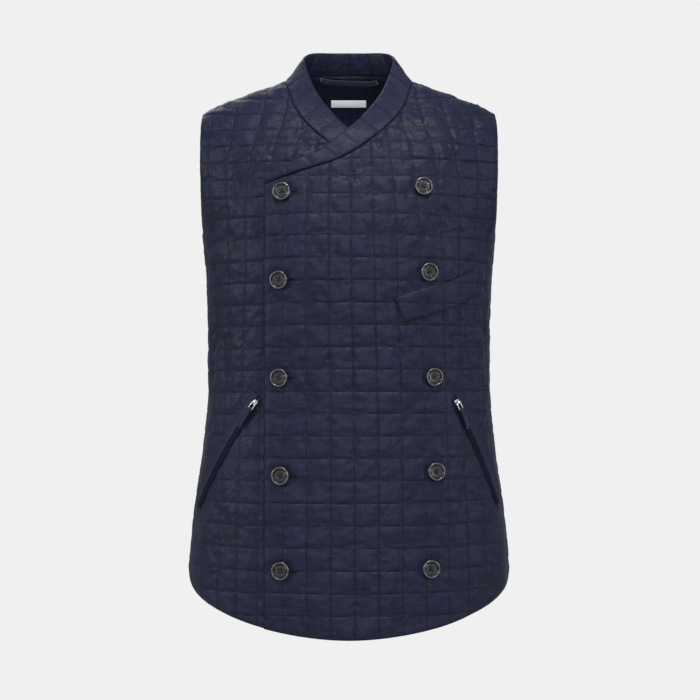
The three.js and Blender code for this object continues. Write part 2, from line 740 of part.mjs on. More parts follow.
// The hinge of a pull: below the head of the zip, above its tape by the slider's height.
const HINGE_FROM_HEAD = 4;
const SLIDER_GAP = 0.6;
const SLIDER_BELOW = 3.7;
for (const [name, pocket] of Object.entries(POCKETS)) {
  add(`${name}_zip_tape`, stripOn(pocket, TAPE), navyTape());
  add(`${name}_pocket_welt`, stripOn(pocket, POCKET_WELT), navyNylon());

  const line = pocketLine(pocket);
  const step = line[1].clone().sub(line[0]).normalize();
  const seat = TAPE.under + TAPE.thick + SLIDER_GAP + SLIDER_BELOW;
  const at = line[0].clone().addScaledVector(step, HINGE_FROM_HEAD);
  const behind = pocket.panel.place(at.x - step.x * 4, at.y - step.y * 4, seat);
  const before = pocket.panel.place(at.x + step.x * 5, at.y + step.y * 5, seat);
  const hinge = pocket.panel.place(at.x, at.y, seat);
  const inner = pocket.panel.place(at.x, at.y, seat - 1);
  const down = before.clone().sub(behind).normalize();
  const across = down.clone().cross(hinge.clone().sub(inner)).normalize();
  const out = across.clone().cross(down);
  const frame = new THREE.Group();
  frame.matrixAutoUpdate = false;
  frame.matrix.makeBasis(across, down, out).setPosition(hinge);
  vest.add(frame);
  add(`${name}_zip_slider`, sliderGeometry(), silverMetal(), frame);
  add(`${name}_zip_pull`, frameGeometry(), silverMetal(), frame);
  add(`${name}_zip_tab`, tabGeometry(pocket.bend), navyTape(), frame);
}

// Buttons: a dished disc with a rim and four holes
const BUTTON_HOLE = { radius: 1.15, ring: 2.6 };
function buttonGeometry() {
  const [r, h] = [BUTTON_RADIUS, BUTTON_HEIGHT];
  const profile = [
    [0, 0], [r * 0.8, 0], [r, h * 0.5], [r * 0.88, h], [r * 0.66, h * 0.62], [0, h * 0.62],
  ].map(([x, y]) => new THREE.Vector2(x, y));
  const disc = new THREE.LatheGeometry(profile, 16).rotateX(Math.PI / 2);
  let solid = solidOf(disc);
  for (let k = 0; k < 4; k += 1) {
    const turn = (k + 0.5) * (Math.PI / 2);
    const { radius, ring } = BUTTON_HOLE;
    const hole = new THREE.CylinderGeometry(radius, radius, h * 3, 5).rotateX(Math.PI / 2);
    hole.translate(ring * Math.cos(turn), ring * Math.sin(turn), 0);
    solid = solid.subtract(solidOf(hole));
  }
  return geometryOf(solid);
}

const BUTTON_SEAT = PRESSED_WALL + 0.4;
for (const [column, places] of Object.entries(BUTTON_PLACES)) {
  places.forEach(([x, z], i) => {
    const flat = leftPanel.flattenX(x, z);
    const seat = leftPanel.place(flat.x, flat.y, BUTTON_SEAT);
    const outward = leftPanel.place(flat.x, flat.y, BUTTON_SEAT + 1).sub(seat).normalize();
    const button = add(`button_${column}${i + 1}`, buttonGeometry(), darkHorn());
    button.position.copy(seat);
    button.quaternion.setFromUnitVectors(new THREE.Vector3(0, 0, 1), outward);
  });
}

// Inside the back neck: the hanger loop, and the bare label below it
const LOOP_PATH = [[-39, 8], [-34.5, 4.5], [-26, 3], [0, 1.8], [26, 0.6], [35, 1.6], [39, 5.5]];
function hangerLoop() {
  const path = new THREE.SplineCurve(LOOP_PATH.map(([x, z]) => new THREE.Vector2(x, z)));
  const ring = [[-3.1, -1], [3.1, -1], [3.1, -2.6], [-3.1, -2.6]];
  return loft(15, ring, (t, high, out) => {
    const at = path.getPointAt(t);
    const ahead = path.getTangentAt(t);
    return bodyPointAtX(1, at.x - ahead.y * high, at.y + ahead.x * high, out);
  });
}
add("hanger_loop", hangerLoop(), navyTape());

const LABEL = { left: -24, right: 22.7, z: -21.9, half: 4.6 };
function neckLabel() {
  const { half } = LABEL;
  const ring = [[-half, -0.8], [half, -0.8], [half, -1.6], [-half, -1.6]];
  return loft(5, ring, (t, high, out) =>
    bodyPointAtX(1, lerp(LABEL.left, LABEL.right, t), LABEL.z + high, out),
  );
}
add("neck_label", neckLabel(), whiteSatin());

export default vest;
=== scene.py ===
"""Dresses the quilted vest in Blender: padded nylon panels with sewn squares, the wrap
collar band, pockets with zips, four-hole buttons, the hanger loop and the bare label.

Lengths are in millimetres in the row's frame until a mesh is made, then in metres.
"""

import bpy
import numpy as np
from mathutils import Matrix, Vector


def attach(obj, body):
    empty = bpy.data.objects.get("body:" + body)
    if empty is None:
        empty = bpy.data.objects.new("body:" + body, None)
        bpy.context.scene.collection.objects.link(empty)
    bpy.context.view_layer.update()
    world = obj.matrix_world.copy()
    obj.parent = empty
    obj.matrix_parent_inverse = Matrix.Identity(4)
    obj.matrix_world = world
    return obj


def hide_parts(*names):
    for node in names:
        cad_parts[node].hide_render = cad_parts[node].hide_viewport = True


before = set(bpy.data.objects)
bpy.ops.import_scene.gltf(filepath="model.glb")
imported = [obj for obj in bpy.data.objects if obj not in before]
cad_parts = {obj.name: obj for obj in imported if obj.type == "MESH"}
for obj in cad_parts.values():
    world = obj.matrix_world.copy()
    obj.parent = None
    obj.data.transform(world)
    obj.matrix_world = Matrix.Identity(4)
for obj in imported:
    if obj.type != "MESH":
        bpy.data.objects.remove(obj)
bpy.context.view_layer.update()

MM = 0.001

# The photograph's camera: straight in front, level, at the height of the vest's waist.
CAMERA_AWAY = 3400
CAMERA_HEIGHT = -351
CAMERA_SIDE = 1.3
FIELD = 910  # width of the view in the plane of the side seams
SENSOR = 36

# Cloth
CELL = 28  # the square of the quilting
STITCH_WALL = 1.5  # wall along a stitch line
CROWN_WALL = 3.3  # wall at the middle of a padded square
PRESSED_WALL = 2.1  # the same, under a button or a pocket strip
SOLID_WALL = 2.2  # the solids' wall there, on which the strips and buttons are seated
SEAM = 0.3  # gap between two panels at a side or shoulder seam
LAP = 5.4  # how far the upper front stands off the one under it
LAP_FADE = (112, 165, -88, -40)  # from and to, in walk and in height
LAP_EDGE = 104  # how far past the middle the upper front's free edge lies
UNDER_EDGE = 112  # the same for the front under it
EDGE_STEP = 7  # between the points of a free edge or a side seam
SHOULDER_STEP = 1.5
HEM_CORNER = -700  # height at which the free edge meets the hem
HEM_CENTRE = -713
HEM_SIDE = -632
BACK_HEM_CENTRE = -717
HEM_CURVE = 1.85  # power of its rise to the sides
ARMHOLE_TOP = -45
ARMHOLE_FOOT = -198
ARMHOLE_DEPTH = {-1: 58, 1: 62}  # before and behind the side line
BUTTON_RADIUS = 11.5

BODY_COLUMNS = ("half", "front", "back")
BODY_ROWS = [
    (48, 50, 12, 66),
    (30, 59, 15, 70),
    (12, 68.5, 19, 75),
    (0, 74, 25, 82),
    (-8, 93, 33.3, 86.7),
    (-22, 130, 48, 95),
    (-39, 174, 62, 102),
    (-48, 188, 69, 106),
    (-75, 189.5, 88, 113),
    (-110, 189.5, 104, 119),
    (-150, 188.5, 116, 123),
    (-198, 187.5, 125, 124),
    (-260, 182.5, 128, 119),
    (-340, 180, 127, 109),
    (-400, 180, 128, 105),
    (-480, 187, 132, 112),
    (-560, 198.5, 136, 122),
    (-640, 205.5, 139, 130),
    (-730, 209.5, 142, 136),
]
SECTION_POWER = 2.3

LIE_COLUMNS = ("ease", "lean", "rise")
LIE_ROWS = [
    (100, 0, 30, 0),
    (20, 0, 28, 0),
    (-35, 0, 19, 0),
    (-70, 0, 11, 0),
    (-100, 0, 7, 0),
    (-145, 0, 3, -3),
    (-205, 0.003, 0, -8),
    (-240, 0.006, 0, -9),
    (-310, 0.016, 0, -4),
    (-380, 0.035, 0, 0),
    (-480, 0.05, 0, 5),
    (-560, 0.055, 0, 7),
    (-730, 0.06, 0, 9),
]

COLLAR_COLUMNS = ("face", "seam_x", "seam_z", "edge_x", "edge_y", "edge_z", "lap")
COLLAR_ROWS = [
    (1, 0, 12, 0, 69, 42.5, 0),
    (1, 26, 11.5, 21, 67, 42.2, 0),
    (1, 50, 9, 41, 56, 41.2, 0),
    (1, 68, 5, 53.5, 38, 37, 0),
    (0, 77, -1.4, 58, 14, 27, 0),
    (-1, 76, -18, 52, -11, 5, 0),
    (-1, 67.5, -41, 42, -35, -19, 0),
    (-1, 52.4, -63, 27, -58, -41, 0.1),
    (-1, 30, -84, 9, -78, -62, 0.8),
    (-1, 8, -100, -12, -91, -79, 1),
    (-1, -20, -114, -37, -99.5, -98.4, 1),
    (-1, -60, -126.5, -68, -103.5, -112, 1),
    (-1, -104.5, -142, -105, -103, -131.4, 1),
]
COLLAR_STAND = 3  # how far its seam lies outside the body's form
COLLAR_LAP = 9  # how much further out its edge lies where it laps
COLLAR_STEPS = 400
NECK_POINT_Z = -1.4
NECK_POINT_GAP = 0.5

BUTTON_PLACES = {
    "a": [(-83, -153.5), (-85.5, -263), (-85, -386), (-83.5, -509), (-83.5, -627)],
    "b": [(92, -147), (97.5, -253), (103.5, -385), (106, -504), (100, -625)],
}
POCKETS = {
    "left": {"side": 1, "head": (129.5, -414), "foot": (187, -549)},
    "right": {"side": -1, "head": (113, -414), "foot": (189, -554)},
}
WELT_CORNERS = [
    (56, -286), (86, -275.5), (121, -264.5), (156.5, -248),
    (156.5, -278), (146, -286.5), (133.5, -295), (98.5, -307), (67.6, -316.6),
]
QUILT_PHASE = {"left": (2.5, -347), "right": (7, -349), "back": (1.3, -334)}

# Creases placed on the panels: from and to (x, z), how wide, how deep (a ridge if
# above 0, a trough if below).
CREASE_COLUMNS = ("panel", "x0", "z0", "x1", "z1", "width", "height")
CREASE_ROWS = [
    ("left", 117, -386, 131, -412, 3.5, -1.5),
    ("left", 119, -378, 138, -405, 6, 1.0),
    ("left", 121, -431, 127, -470, 6, -1.1),
    ("left", 140, -425, 158, -475, 5, 0.9),
    ("left", 60, -160, 92, -148, 6, -0.8),
    ("left", 100, -160, 132, -196, 7, -0.9),
    ("left", 84, -262, 62, -284, 6, -0.8),
    ("left", 112, -262, 140, -256, 5, -0.7),
    ("left", -62, -272, -20, -300, 9, -0.7),
    ("left", -64, -395, -22, -420, 10, -0.8),
    ("left", -62, -517, -24, -540, 9, -0.8),
    ("left", -60, -633, -25, -655, 9, -0.7),
    ("left", 92, -396, 60, -430, 9, -0.8),
    ("left", 96, -515, 66, -548, 9, -0.8),
    ("left", 90, -634, 62, -660, 9, -0.8),
    ("left", 128, -515, 160, -540, 8, -0.8),
    ("left", -40, -128, 40, -150, 10, -0.7),
    ("left", 40, -92, 74, -118, 8, -0.8),
    ("left", 62, -70, 96, -88, 8, -0.7),
    ("left", 168, -215, 186, -262, 6, -1.0),
    ("right", -113, -412, -110, -392, 3.5, -1.4),
    ("right", -123, -392, -134, -418, 6, 0.9),
    ("right", -150, -170, -178, -205, 8, -1.0),
    ("right", -120, -140, -160, -150, 8, -0.8),
    ("right", -125, -560, -165, -600, 10, -0.9),
    ("right", -120, -300, -150, -325, 9, -0.8),
    ("right", -60, -75, -90, -92, 8, -0.7),
    ("right", -172, -214, -184, -262, 6, -1.0),
    ("back", -60, -180, 40, -195, 14, -1.0),
    ("back", 70, -150, 150, -190, 12, -1.1),
    ("back", -75, -150, -150, -185, 12, -1.0),
    ("back", -120, -330, 30, -352, 14, -1.2),
    ("back", -20, -395, 130, -372, 13, -1.1),
    ("back", -150, -420, -60, -440, 12, -0.9),
    ("back", 60, -560, 165, -540, 14, -0.8),
    ("back", -160, -600, -70, -620, 13, -0.8),
]


# Smooth maths on whole arrays

def table_of(columns, rows):
    """Functions through a table's rows, one a column, of its first value. Between two
    rows runs the cubic whose slope at a row is the harmonic mean of the rises beside it,
    or level where the rises change sign."""
    ordered = np.array(sorted(rows), float)
    x = ordered[:, 0]

    def curve(y):
        rise = np.diff(y) / np.diff(x)
        before, after = rise[:-1], rise[1:]
        turning = before * after <= 0
        slope = np.concatenate((rise[:1], np.zeros(len(x) - 2), rise[-1:]))
        both = np.where(turning, 1, before + after)
        slope[1:-1] = np.where(turning, 0, 2 * before * after / both)

        def at(value):
            t = np.clip(value, x[0], x[-1])
            i = np.clip(np.searchsorted(x, t, side="right") - 1, 0, len(x) - 2)
            h = x[i + 1] - x[i]
            f = (t - x[i]) / h
            g = 1 - f
            ends = y[i] * g * g * (1 + 2 * f) + y[i + 1] * f * f * (3 - 2 * f)
            return ends + h * (slope[i] * f * g * g - slope[i + 1] * f * f * g)

        return at

    return {name: curve(ordered[:, k + 1]) for k, name in enumerate(columns)}


def smooth(low, high, x):
    """0 below low, 1 above high, and 3t^2 - 2t^3 between."""
    t = np.clip((np.asarray(x, float) - low) / (high - low), 0, 1)
    return t * t * (3 - 2 * t)


def noise(x, y, seed):
    """Smooth noise from -1 to 1: each whole-number corner has a hashed value, blended
    between corners by 3t^2 - 2t^3 in x and in y."""
    i, j = np.floor(x), np.floor(y)
    f, g = x - i, y - j
    f, g = f * f * (3 - 2 * f), g * g * (3 - 2 * g)

    def corner(a, b):
        h = np.sin(a * 127.1 + b * 311.7 + seed * 74.7) * 43758.5453
        return 2 * (h - np.floor(h)) - 1

    low = corner(i, j) * (1 - f) + corner(i + 1, j) * f
    high = corner(i, j + 1) * (1 - f) + corner(i + 1, j + 1) * f
    return low * (1 - g) + high * g


def spline(knots, count, even=True):
    """Points on the smooth curve through the knots, whose direction at a knot is half
    the step from the knot before to the knot after. With even, they lie evenly along it;
    otherwise count points to each stretch between knots."""
    p = np.array(knots, float)
    before = np.vstack((p[:1], p[:-1]))
    after = np.vstack((p[1:], p[-1:]))
    speed = (after - before) / 2
    fine = 60 if even else count
    t = np.linspace(0, 1, fine, endpoint=False)[:, None, None]
    a, b, va, vb = p[:-1], p[1:], speed[:-1], speed[1:]
    t2, t3 = t * t, t * t * t
    made = (2 * t3 - 3 * t2 + 1) * a + (t3 - 2 * t2 + t) * va + (3 * t2 - 2 * t3) * b + (t3 - t2) * vb
    line = np.vstack((made.transpose(1, 0, 2).reshape(-1, p.shape[1]), p[-1:]))
    return evenly(line, count) if even else line


def walked(line):
    """Length along a polyline at each of its points."""
    steps = np.linalg.norm(np.diff(line, axis=0), axis=1)
    return np.concatenate(([0], np.cumsum(steps)))


def evenly(line, count):
    """count + 1 points that lie at even lengths along a polyline."""
    length = walked(line)
    at = np.linspace(0, length[-1], count + 1)
    return np.stack([np.interp(at, length, line[:, k]) for k in range(line.shape[1])], axis=1)


def unit(vectors):
    return vectors / np.linalg.norm(vectors, axis=-1, keepdims=True)


def read_at(rows, at):
    """An array's rows at places between them, blended in a straight line."""
    numbers = np.arange(len(rows))
    return np.stack([np.interp(at, numbers, column) for column in rows.T], axis=1)


# The body of the vest

body = table_of(BODY_COLUMNS, BODY_ROWS)
lie = table_of(LIE_COLUMNS, LIE_ROWS)


def armhole_depth(face, z):
    """Depth of the armhole's edge before or behind the side line: the upper half of a
    superellipse between the armhole's foot and top."""
    middle = (ARMHOLE_TOP + ARMHOLE_FOOT) / 2
    t = np.abs((z - middle) / ((ARMHOLE_TOP - ARMHOLE_FOOT) / 2))
    return ARMHOLE_DEPTH[face] * (1 - np.minimum(t, 1) ** SECTION_POWER) ** (1 / SECTION_POWER)


def section(face, z):
    """Reach in x and depth in y of the superellipse at a height: it passes the armhole's
    edge, or the side line, at the body's half width."""
    depth = body["front"](z) if face < 0 else body["back"](z)
    share = 1 - (armhole_depth(face, z) / depth) ** SECTION_POWER
    return body["half"](z) / share ** (1 / SECTION_POWER), depth


def on_section(reach, depth, turn):
    """Point of a superellipse at a turn from its middle: reach times sin^(2/n) and depth
    times cos^(2/n), each with its sign."""
    power = 2 / SECTION_POWER
    sin, cos = np.sin(turn), np.cos(turn)
    x = reach * np.abs(sin) ** power
    y = depth * np.sign(cos) * np.abs(cos) ** power
    return x, y


class WalkTable:
    """Turn of the section by height and by length walked from the middle of a face."""

    LEVEL_STEP = 1.0
    WALK_STEP = 1.5
    LEVELS = np.arange(-760, 49, LEVEL_STEP)
    WALKS = np.arange(0, 360, WALK_STEP)
    TURNS = np.linspace(0, 1.13 * np.pi / 2, 260)
    QUARTER = int(np.searchsorted(TURNS, np.pi / 2))  # turns up to the side line

    def __init__(self, face):
        reach, depth = section(face, self.LEVELS[:, None])
        x, y = on_section(reach, depth, self.TURNS[None, :])
        steps = np.hypot(np.diff(x, axis=1), np.diff(y, axis=1))
        length = np.concatenate((np.zeros((len(x), 1)), np.cumsum(steps, axis=1)), axis=1)
        self.turns = np.array([np.interp(self.WALKS, row, self.TURNS) for row in length])
        self.lengths = length
        self.xs = x
        self.sides = np.array([self.side_at(k) for k in range(len(self.LEVELS))])

    def turn(self, walk, z):
        """Blended between the four nearest entries of the table."""
        a = np.clip((z - self.LEVELS[0]) / self.LEVEL_STEP, 0, len(self.LEVELS) - 1.001)
        b = np.clip(np.abs(walk) / self.WALK_STEP, 0, len(self.WALKS) - 1.001)
        i, j = a.astype(int), b.astype(int)
        f, g = a - i, b - j
        t = self.turns
        low = t[i, j] * (1 - g) + t[i, j + 1] * g
        high = t[i + 1, j] * (1 - g) + t[i + 1, j + 1] * g
        return low * (1 - f) + high * f

    def walk_to(self, x, z):
        """Length walked to x at a height, read at the nearest level."""
        row = int(round((float(z) - self.LEVELS[0]) / self.LEVEL_STEP))
        xs, lengths = self.xs[row, :self.QUARTER], self.lengths[row, :self.QUARTER]
        return float(np.sign(x) * np.interp(abs(x), xs, lengths))

    def walk_to_side(self, z):
        return self.walk_to(float(body["half"](z)) - 0.001, z)

    def side_at(self, row):
        """Length walked at one level to the armhole's edge, or to the side line where
        there is none."""
        xs, lengths = self.xs[row, :self.QUARTER], self.lengths[row, :self.QUARTER]
        half = float(body["half"](self.LEVELS[row]))
        if half < xs[-1] - 0.05:
            return np.interp(half, xs, lengths)
        return np.interp(np.pi / 2, self.TURNS, self.lengths[row])

    def side_walk(self, z):
        """The same length at any height, blended between levels."""
        return np.interp(z, self.LEVELS, self.sides)


walks = {face: WalkTable(face) for face in (-1, 1)}


def body_point(face, walk, z, out=0):
    """A point on the body, walked from the middle of a face at a height, then moved out
    along the slope of the form (x / reach)^n + (y / depth)^n."""
    walk, z = np.broadcast_arrays(np.asarray(walk, float), np.asarray(z, float))
    reach, depth = section(face, z)
    x, y = on_section(reach, depth, walks[face].turn(walk, z))
    x, y = np.sign(walk) * x, face * y

    def form(px, py, pz):
        r, d = section(face, pz)
        return np.abs(px / r) ** SECTION_POWER + np.abs(py / d) ** SECTION_POWER

    step = 0.5
    slope = np.stack(
        (
            form(x + step, y, z) - form(x - step, y, z),
            form(x, y + step, z) - form(x, y - step, z),
            form(x, y, z + step) - form(x, y, z - step),
        ),
        axis=-1,
    )
    return np.stack((x, y, z), axis=-1) + unit(slope) * np.asarray(out, float)[..., None]


def point_at_x(face, x, z):
    return body_point(face, walks[face].walk_to(x, z), float(z))


# The cloth on the body

FALL = 0.25
FALL_FROM = -235
FALL_OVER = 140
LEAN_FULL = 80
RISE_REACH = 270
FLATTEN_TURNS = 90
FLATTEN_SHARE = 0.7  # of the miss that a turn makes good


def height_of(v):
    """Height of a level cloth line: v itself below the chest; above it the slope of the
    curve eases from 1 to 1 - FALL."""
    t = np.maximum(0, v - FALL_FROM)
    u = np.minimum(1, t / FALL_OVER)
    return v - FALL * (FALL_OVER * (u**3 - u**4 / 2) + np.maximum(0, t - FALL_OVER))


def upper_lap(walk, z):
    """How far the upper front stands off: LAP over the under front, none past it."""
    near, far, low, high = LAP_FADE
    return LAP * (1 - smooth(near, far, walk)) * (1 - smooth(low, high, z))


class Panel:
    """A piece of cloth by its flat measure (u, v), and where it comes to lie."""

    def __init__(self, name, face, ease_from, lap):
        self.name = name
        self.face = face
        self.ease_from = ease_from
        self.lap = lap
        self.phase = QUILT_PHASE[name]

    def lie_at(self, u, v):
        """Walk and height of a flat point: the walk is u, eased from one line and leant
        to the neck; the height is that of line v, raised by the square of u."""
        reach = np.abs(u)
        lean = np.sign(u) * smooth(0, LEAN_FULL, reach) * (1 - 0.5 * smooth(120, 190, reach))
        walk = u + lie["ease"](v) * (u - self.ease_from) - lie["lean"](v) * lean
        return walk, height_of(v) + lie["rise"](v) * (u / RISE_REACH) ** 2

    def flatten(self, walk, z):
        """The flat point that comes to lie at a walk and height, by repeated steps."""
        walk, z = np.asarray(walk, float), np.asarray(z, float)
        u, v = walk.copy(), z.copy()
        for _ in range(FLATTEN_TURNS):
            at_walk, at_z = self.lie_at(u, v)
            u = u + FLATTEN_SHARE * (walk - at_walk)
            v = v + FLATTEN_SHARE * (z - at_z)
        return np.stack((u, v), axis=-1)

    def flatten_x(self, x, z):
        return self.flatten(walks[self.face].walk_to(x, z), z)

    def place(self, flat, out):
        walk, z = self.lie_at(flat[..., 0], flat[..., 1])
        lap = self.lap(walk, z) if self.lap else 0
        return body_point(self.face, walk, z, np.asarray(out, float) + lap)

    def cells(self, flat):
        """The flat point counted in quilt squares, whole numbers on the stitch lines."""
        return (flat - np.array(self.phase)) / CELL


PANELS = {
    "left": Panel("left", -1, -81, upper_lap),
    "right": Panel("right", -1, 81, None),
    "back": Panel("back", 1, 0, None),
}
collar_rows = [dict(zip(COLLAR_COLUMNS, row)) for row in COLLAR_ROWS]


def seam_line(face, side):
    """The seam of collar and panel on one face, from the side neck point inwards, as
    walk and height: a smooth curve through the collar table's rows."""
    rows = [row for row in collar_rows if row["face"] == face]
    if face > 0:
        rows.reverse()
    knots = [(walks[face].walk_to_side(NECK_POINT_Z) - NECK_POINT_GAP, NECK_POINT_Z)]
    knots += [(walks[face].walk_to(row["seam_x"], row["seam_z"]), row["seam_z"]) for row in rows]
    return spline(knots, 56 if face < 0 else 30) * (side, 1)


# Outlines of the panels in their flat measure

NECK_CLEARANCE = 0.2


def neckline(panel, side):
    """The seam line moved off the collar by a clearance, along its own normal."""
    line = seam_line(panel.face, side)
    ahead = unit(np.gradient(line, axis=0)) * side * NECK_CLEARANCE
    return panel.flatten(line[:, 0] - ahead[:, 1], line[:, 1] + ahead[:, 0])


def side_edge(panel, side):
    """From the neck point down: shoulder seam, armhole and side seam."""
    middle = (ARMHOLE_TOP + ARMHOLE_FOOT) / 2
    oval = middle + (ARMHOLE_TOP - ARMHOLE_FOOT) / 2 * np.cos(np.linspace(0, np.pi, 40))
    z = np.concatenate(
        (
            np.arange(NECK_POINT_Z - 0.6, ARMHOLE_TOP + 1, -SHOULDER_STEP),
            oval,
            np.arange(ARMHOLE_FOOT - 5, HEM_SIDE + 4, -EDGE_STEP),
            [HEM_SIDE],
        )
    )
    reach = walks[panel.face].side_walk(z) - SEAM * 0.5
    return panel.flatten(side * reach, z)


def hem_edge(panel, side, centre, end_walk):
    """The hem from the side seam: its height falls from HEM_SIDE to the centre's as the
    walk's share of the way to the side, to the power HEM_CURVE."""
    full = walks[panel.face].side_walk(HEM_SIDE) - SEAM * 0.5
    walk = np.linspace(full, end_walk, 60)[1:]
    z = centre + (HEM_SIDE - centre) * np.abs(walk / full) ** HEM_CURVE
    return panel.flatten(side * walk, z)


def front_outline(panel, side, edge_x):
    """Neckline, side, hem and the free edge, which is upright at edge_x past the middle
    and keeps clear of its two corners."""
    top = seam_line(-1, side)[-1, 1]
    foot = walks[-1].walk_to(edge_x, HEM_CORNER)
    hem = hem_edge(panel, side, HEM_CENTRE, -foot)
    heights = np.arange(HEM_CORNER + 9, top - 4, EDGE_STEP)
    free = np.array([panel.flatten_x(-side * edge_x, z) for z in heights])
    return np.vstack((neckline(panel, side)[::-1], side_edge(panel, side), hem, free))


def back_outline(panel):
    """Neckline, side and hem of one half, then those of its mirror image."""
    halves = [
        np.vstack(
            (
                neckline(panel, side)[::-1],
                side_edge(panel, side),
                hem_edge(panel, side, BACK_HEM_CENTRE, 0),
            )
        )
        for side in (1, -1)
    ]
    return np.vstack((halves[0], halves[1][::-1][1:-1]))


def inside(points, outline):
    """Whether each point lies inside a closed outline: a ray from it to the right
    crosses the outline an odd number of times."""
    a, b = outline, np.roll(outline, -1, axis=0)
    found = np.zeros(len(points), bool)
    for (ax, ay), (bx, by) in zip(a, b):
        if ay == by:
            continue
        crosses = (points[:, 1] < ay) != (points[:, 1] < by)
        at = ax + (points[:, 1] - ay) * (bx - ax) / (by - ay)
        found ^= crosses & (points[:, 0] < at)
    return found


def nearest_on(points, outline):
    """Distance to a closed outline and the nearest point of it, for each point."""
    a, b = outline, np.roll(outline, -1, axis=0)
    best = np.full(len(points), np.inf)
    found = np.zeros_like(points)
    for start, end in zip(a, b):
        step = end - start
        along = np.clip(((points - start) @ step) / max(step @ step, 1e-9), 0, 1)
        at = start + along[:, None] * step
        distance = np.linalg.norm(points - at, axis=1)
        nearer = distance < best
        best[nearer] = distance[nearer]
        found[nearer] = at[nearer]
    return best, found


# Padding of the quilted cloth

PILLOW_POWER = 0.42
DIMPLE_WALL = 1.2  # under a button
EDGE_WALL = 1.3  # at a cut edge
LEAST_WALL = 0.8
HIGHEST_FOLD = 1.1  # over the padding
PUCKER_OFF = 3  # from a stitch line to its highest ripples
RELIEF_SEEDS = {"left": 1, "right": 21, "back": 41}


def button_spots(panel):
    if panel.name != "left":
        return []
    return [panel.flatten_x(x, z) for column in BUTTON_PLACES.values() for x, z in column]


def pocket_line(panel):
    pocket = POCKETS.get(panel.name)
    if not pocket:
        return None
    ends = (pocket["head"], pocket["foot"])
    return np.array([panel.flatten_x(pocket["side"] * x, z) for x, z in ends])


def off_line(points, start, end):
    """Distance of each point from a straight stretch, and its share of the way along."""
    step = end - start
    along = np.clip(((points - start) @ step) / (step @ step), 0, 1)
    return np.linalg.norm(points - start - along[:, None] * step, axis=1), along


def pillows(cells):
    """Padding from 0 on the stitch lines to 1 in the middle of a square: the product of
    the sines of both places in the square, to a low power that makes it steep at the
    stitches and flat on top."""
    return (np.abs(np.sin(np.pi * cells[:, 0]) * np.sin(np.pi * cells[:, 1]))) ** PILLOW_POWER


def puckers(flat, cells, seed):
    """Small ripples beside the stitch lines: noise along a line, strongest 3 mm off it,
    gone by 12 mm."""
    total = np.zeros(len(flat))
    for k in (0, 1):
        off = np.abs(cells[:, k] - np.round(cells[:, k])) * CELL
        line = np.round(cells[:, k])
        ripple = noise(flat[:, 1 - k] / 4.2, line * 3.7, seed + k)
        ripple += 0.5 * noise(flat[:, 1 - k] / 8.5, line * 1.9, seed + 5 + k)
        total += ripple * (off / PUCKER_OFF) * np.exp(1 - off / PUCKER_OFF)
    return total


def beside(points, line):
    """Distance of each point from a polyline, and the length along it at the nearest."""
    best = np.full(len(points), np.inf)
    at = np.zeros(len(points))
    length = walked(line)
    for start, end, before in zip(line[:-1], line[1:], length):
        step = end - start
        share = np.clip(((points - start) @ step) / max(step @ step, 1e-9), 0, 1)
        distance = np.linalg.norm(points - start - share[:, None] * step, axis=1)
        nearer = distance < best
        best[nearer] = distance[nearer]
        at[nearer] = (before + share * np.linalg.norm(step))[nearer]
    return best, at


def neck_gathers(panel, flat, seed):
    """Small folds square to the collar's seam, where the cloth is drawn into it: waves
    of uneven length along the seam, gone by 40 mm from it."""
    total = np.zeros(len(flat))
    for side in (1, -1):
        if panel.face < 0 and side != (1 if panel.name == "left" else -1):
            continue
        off, at = beside(flat, neckline(panel, side))
        wave = noise(at / 4.4, off / 60, seed) + 0.6 * noise(at / 9, off / 40, seed + 3)
        total += wave * smooth(0, 3, off) * np.exp(-off / 15) * (1 - 0.6 * smooth(90, 130, at))
    return total


def crinkles(flat, seed):
    """Fine creases of light nylon: the sharp valleys of noise laid in three directions."""
    total = np.zeros(len(flat))
    for k, turn in enumerate((0.35, 1.25, 2.3)):
        x = flat[:, 0] * np.cos(turn) + flat[:, 1] * np.sin(turn)
        y = flat[:, 1] * np.cos(turn) - flat[:, 0] * np.sin(turn)
        ridge = 1 - np.abs(noise(x / 7, y / 24, seed + 11 * k))
        total += (ridge**3) * noise(x / 31 + 3, y / 37, seed + 7 * k)
    return total


def gathers(panel, flat, seed):
    """Upright folds where the cloth draws in at the sides of the waist."""
    walk, z = panel.lie_at(flat[:, 0], flat[:, 1])
    zone = smooth(140, 175, np.abs(walk)) * (1 - smooth(238, 262, np.abs(walk)))
    zone = zone * smooth(-450, -400, z) * (1 - smooth(-300, -262, z))
    return zone * noise(flat[:, 0] / 5.2, flat[:, 1] / 46, seed)


def creases(panel, flat):
    """The listed creases: across each a bell curve, along it a half sine."""
    total = np.zeros(len(flat))
    for row in CREASE_ROWS:
        crease = dict(zip(CREASE_COLUMNS, row))
        if crease["panel"] != panel.name:
            continue
        start = panel.flatten_x(crease["x0"], crease["z0"])
        end = panel.flatten_x(crease["x1"], crease["z1"])
        off, along = off_line(flat, start, end)
        swell = np.sin(np.pi * np.clip(along, 0.02, 0.98)) ** 0.7
        total += crease["height"] * swell * np.exp(-((off / crease["width"]) ** 2))
    return total


def pulls(panel, flat):
    """Short folds that run out from each button: waves round it, fading with distance."""
    total = np.zeros(len(flat))
    for k, spot in enumerate(button_spots(panel)):
        away = flat - spot
        far = np.linalg.norm(away, axis=1)
        turn = np.arctan2(away[:, 1], away[:, 0])
        wave = np.cos(7 * turn + k) + 0.7 * np.cos(11 * turn + 2.1 * k)
        total += 0.32 * wave * smooth(9, 14, far) * np.exp(-far / 13)
    return total


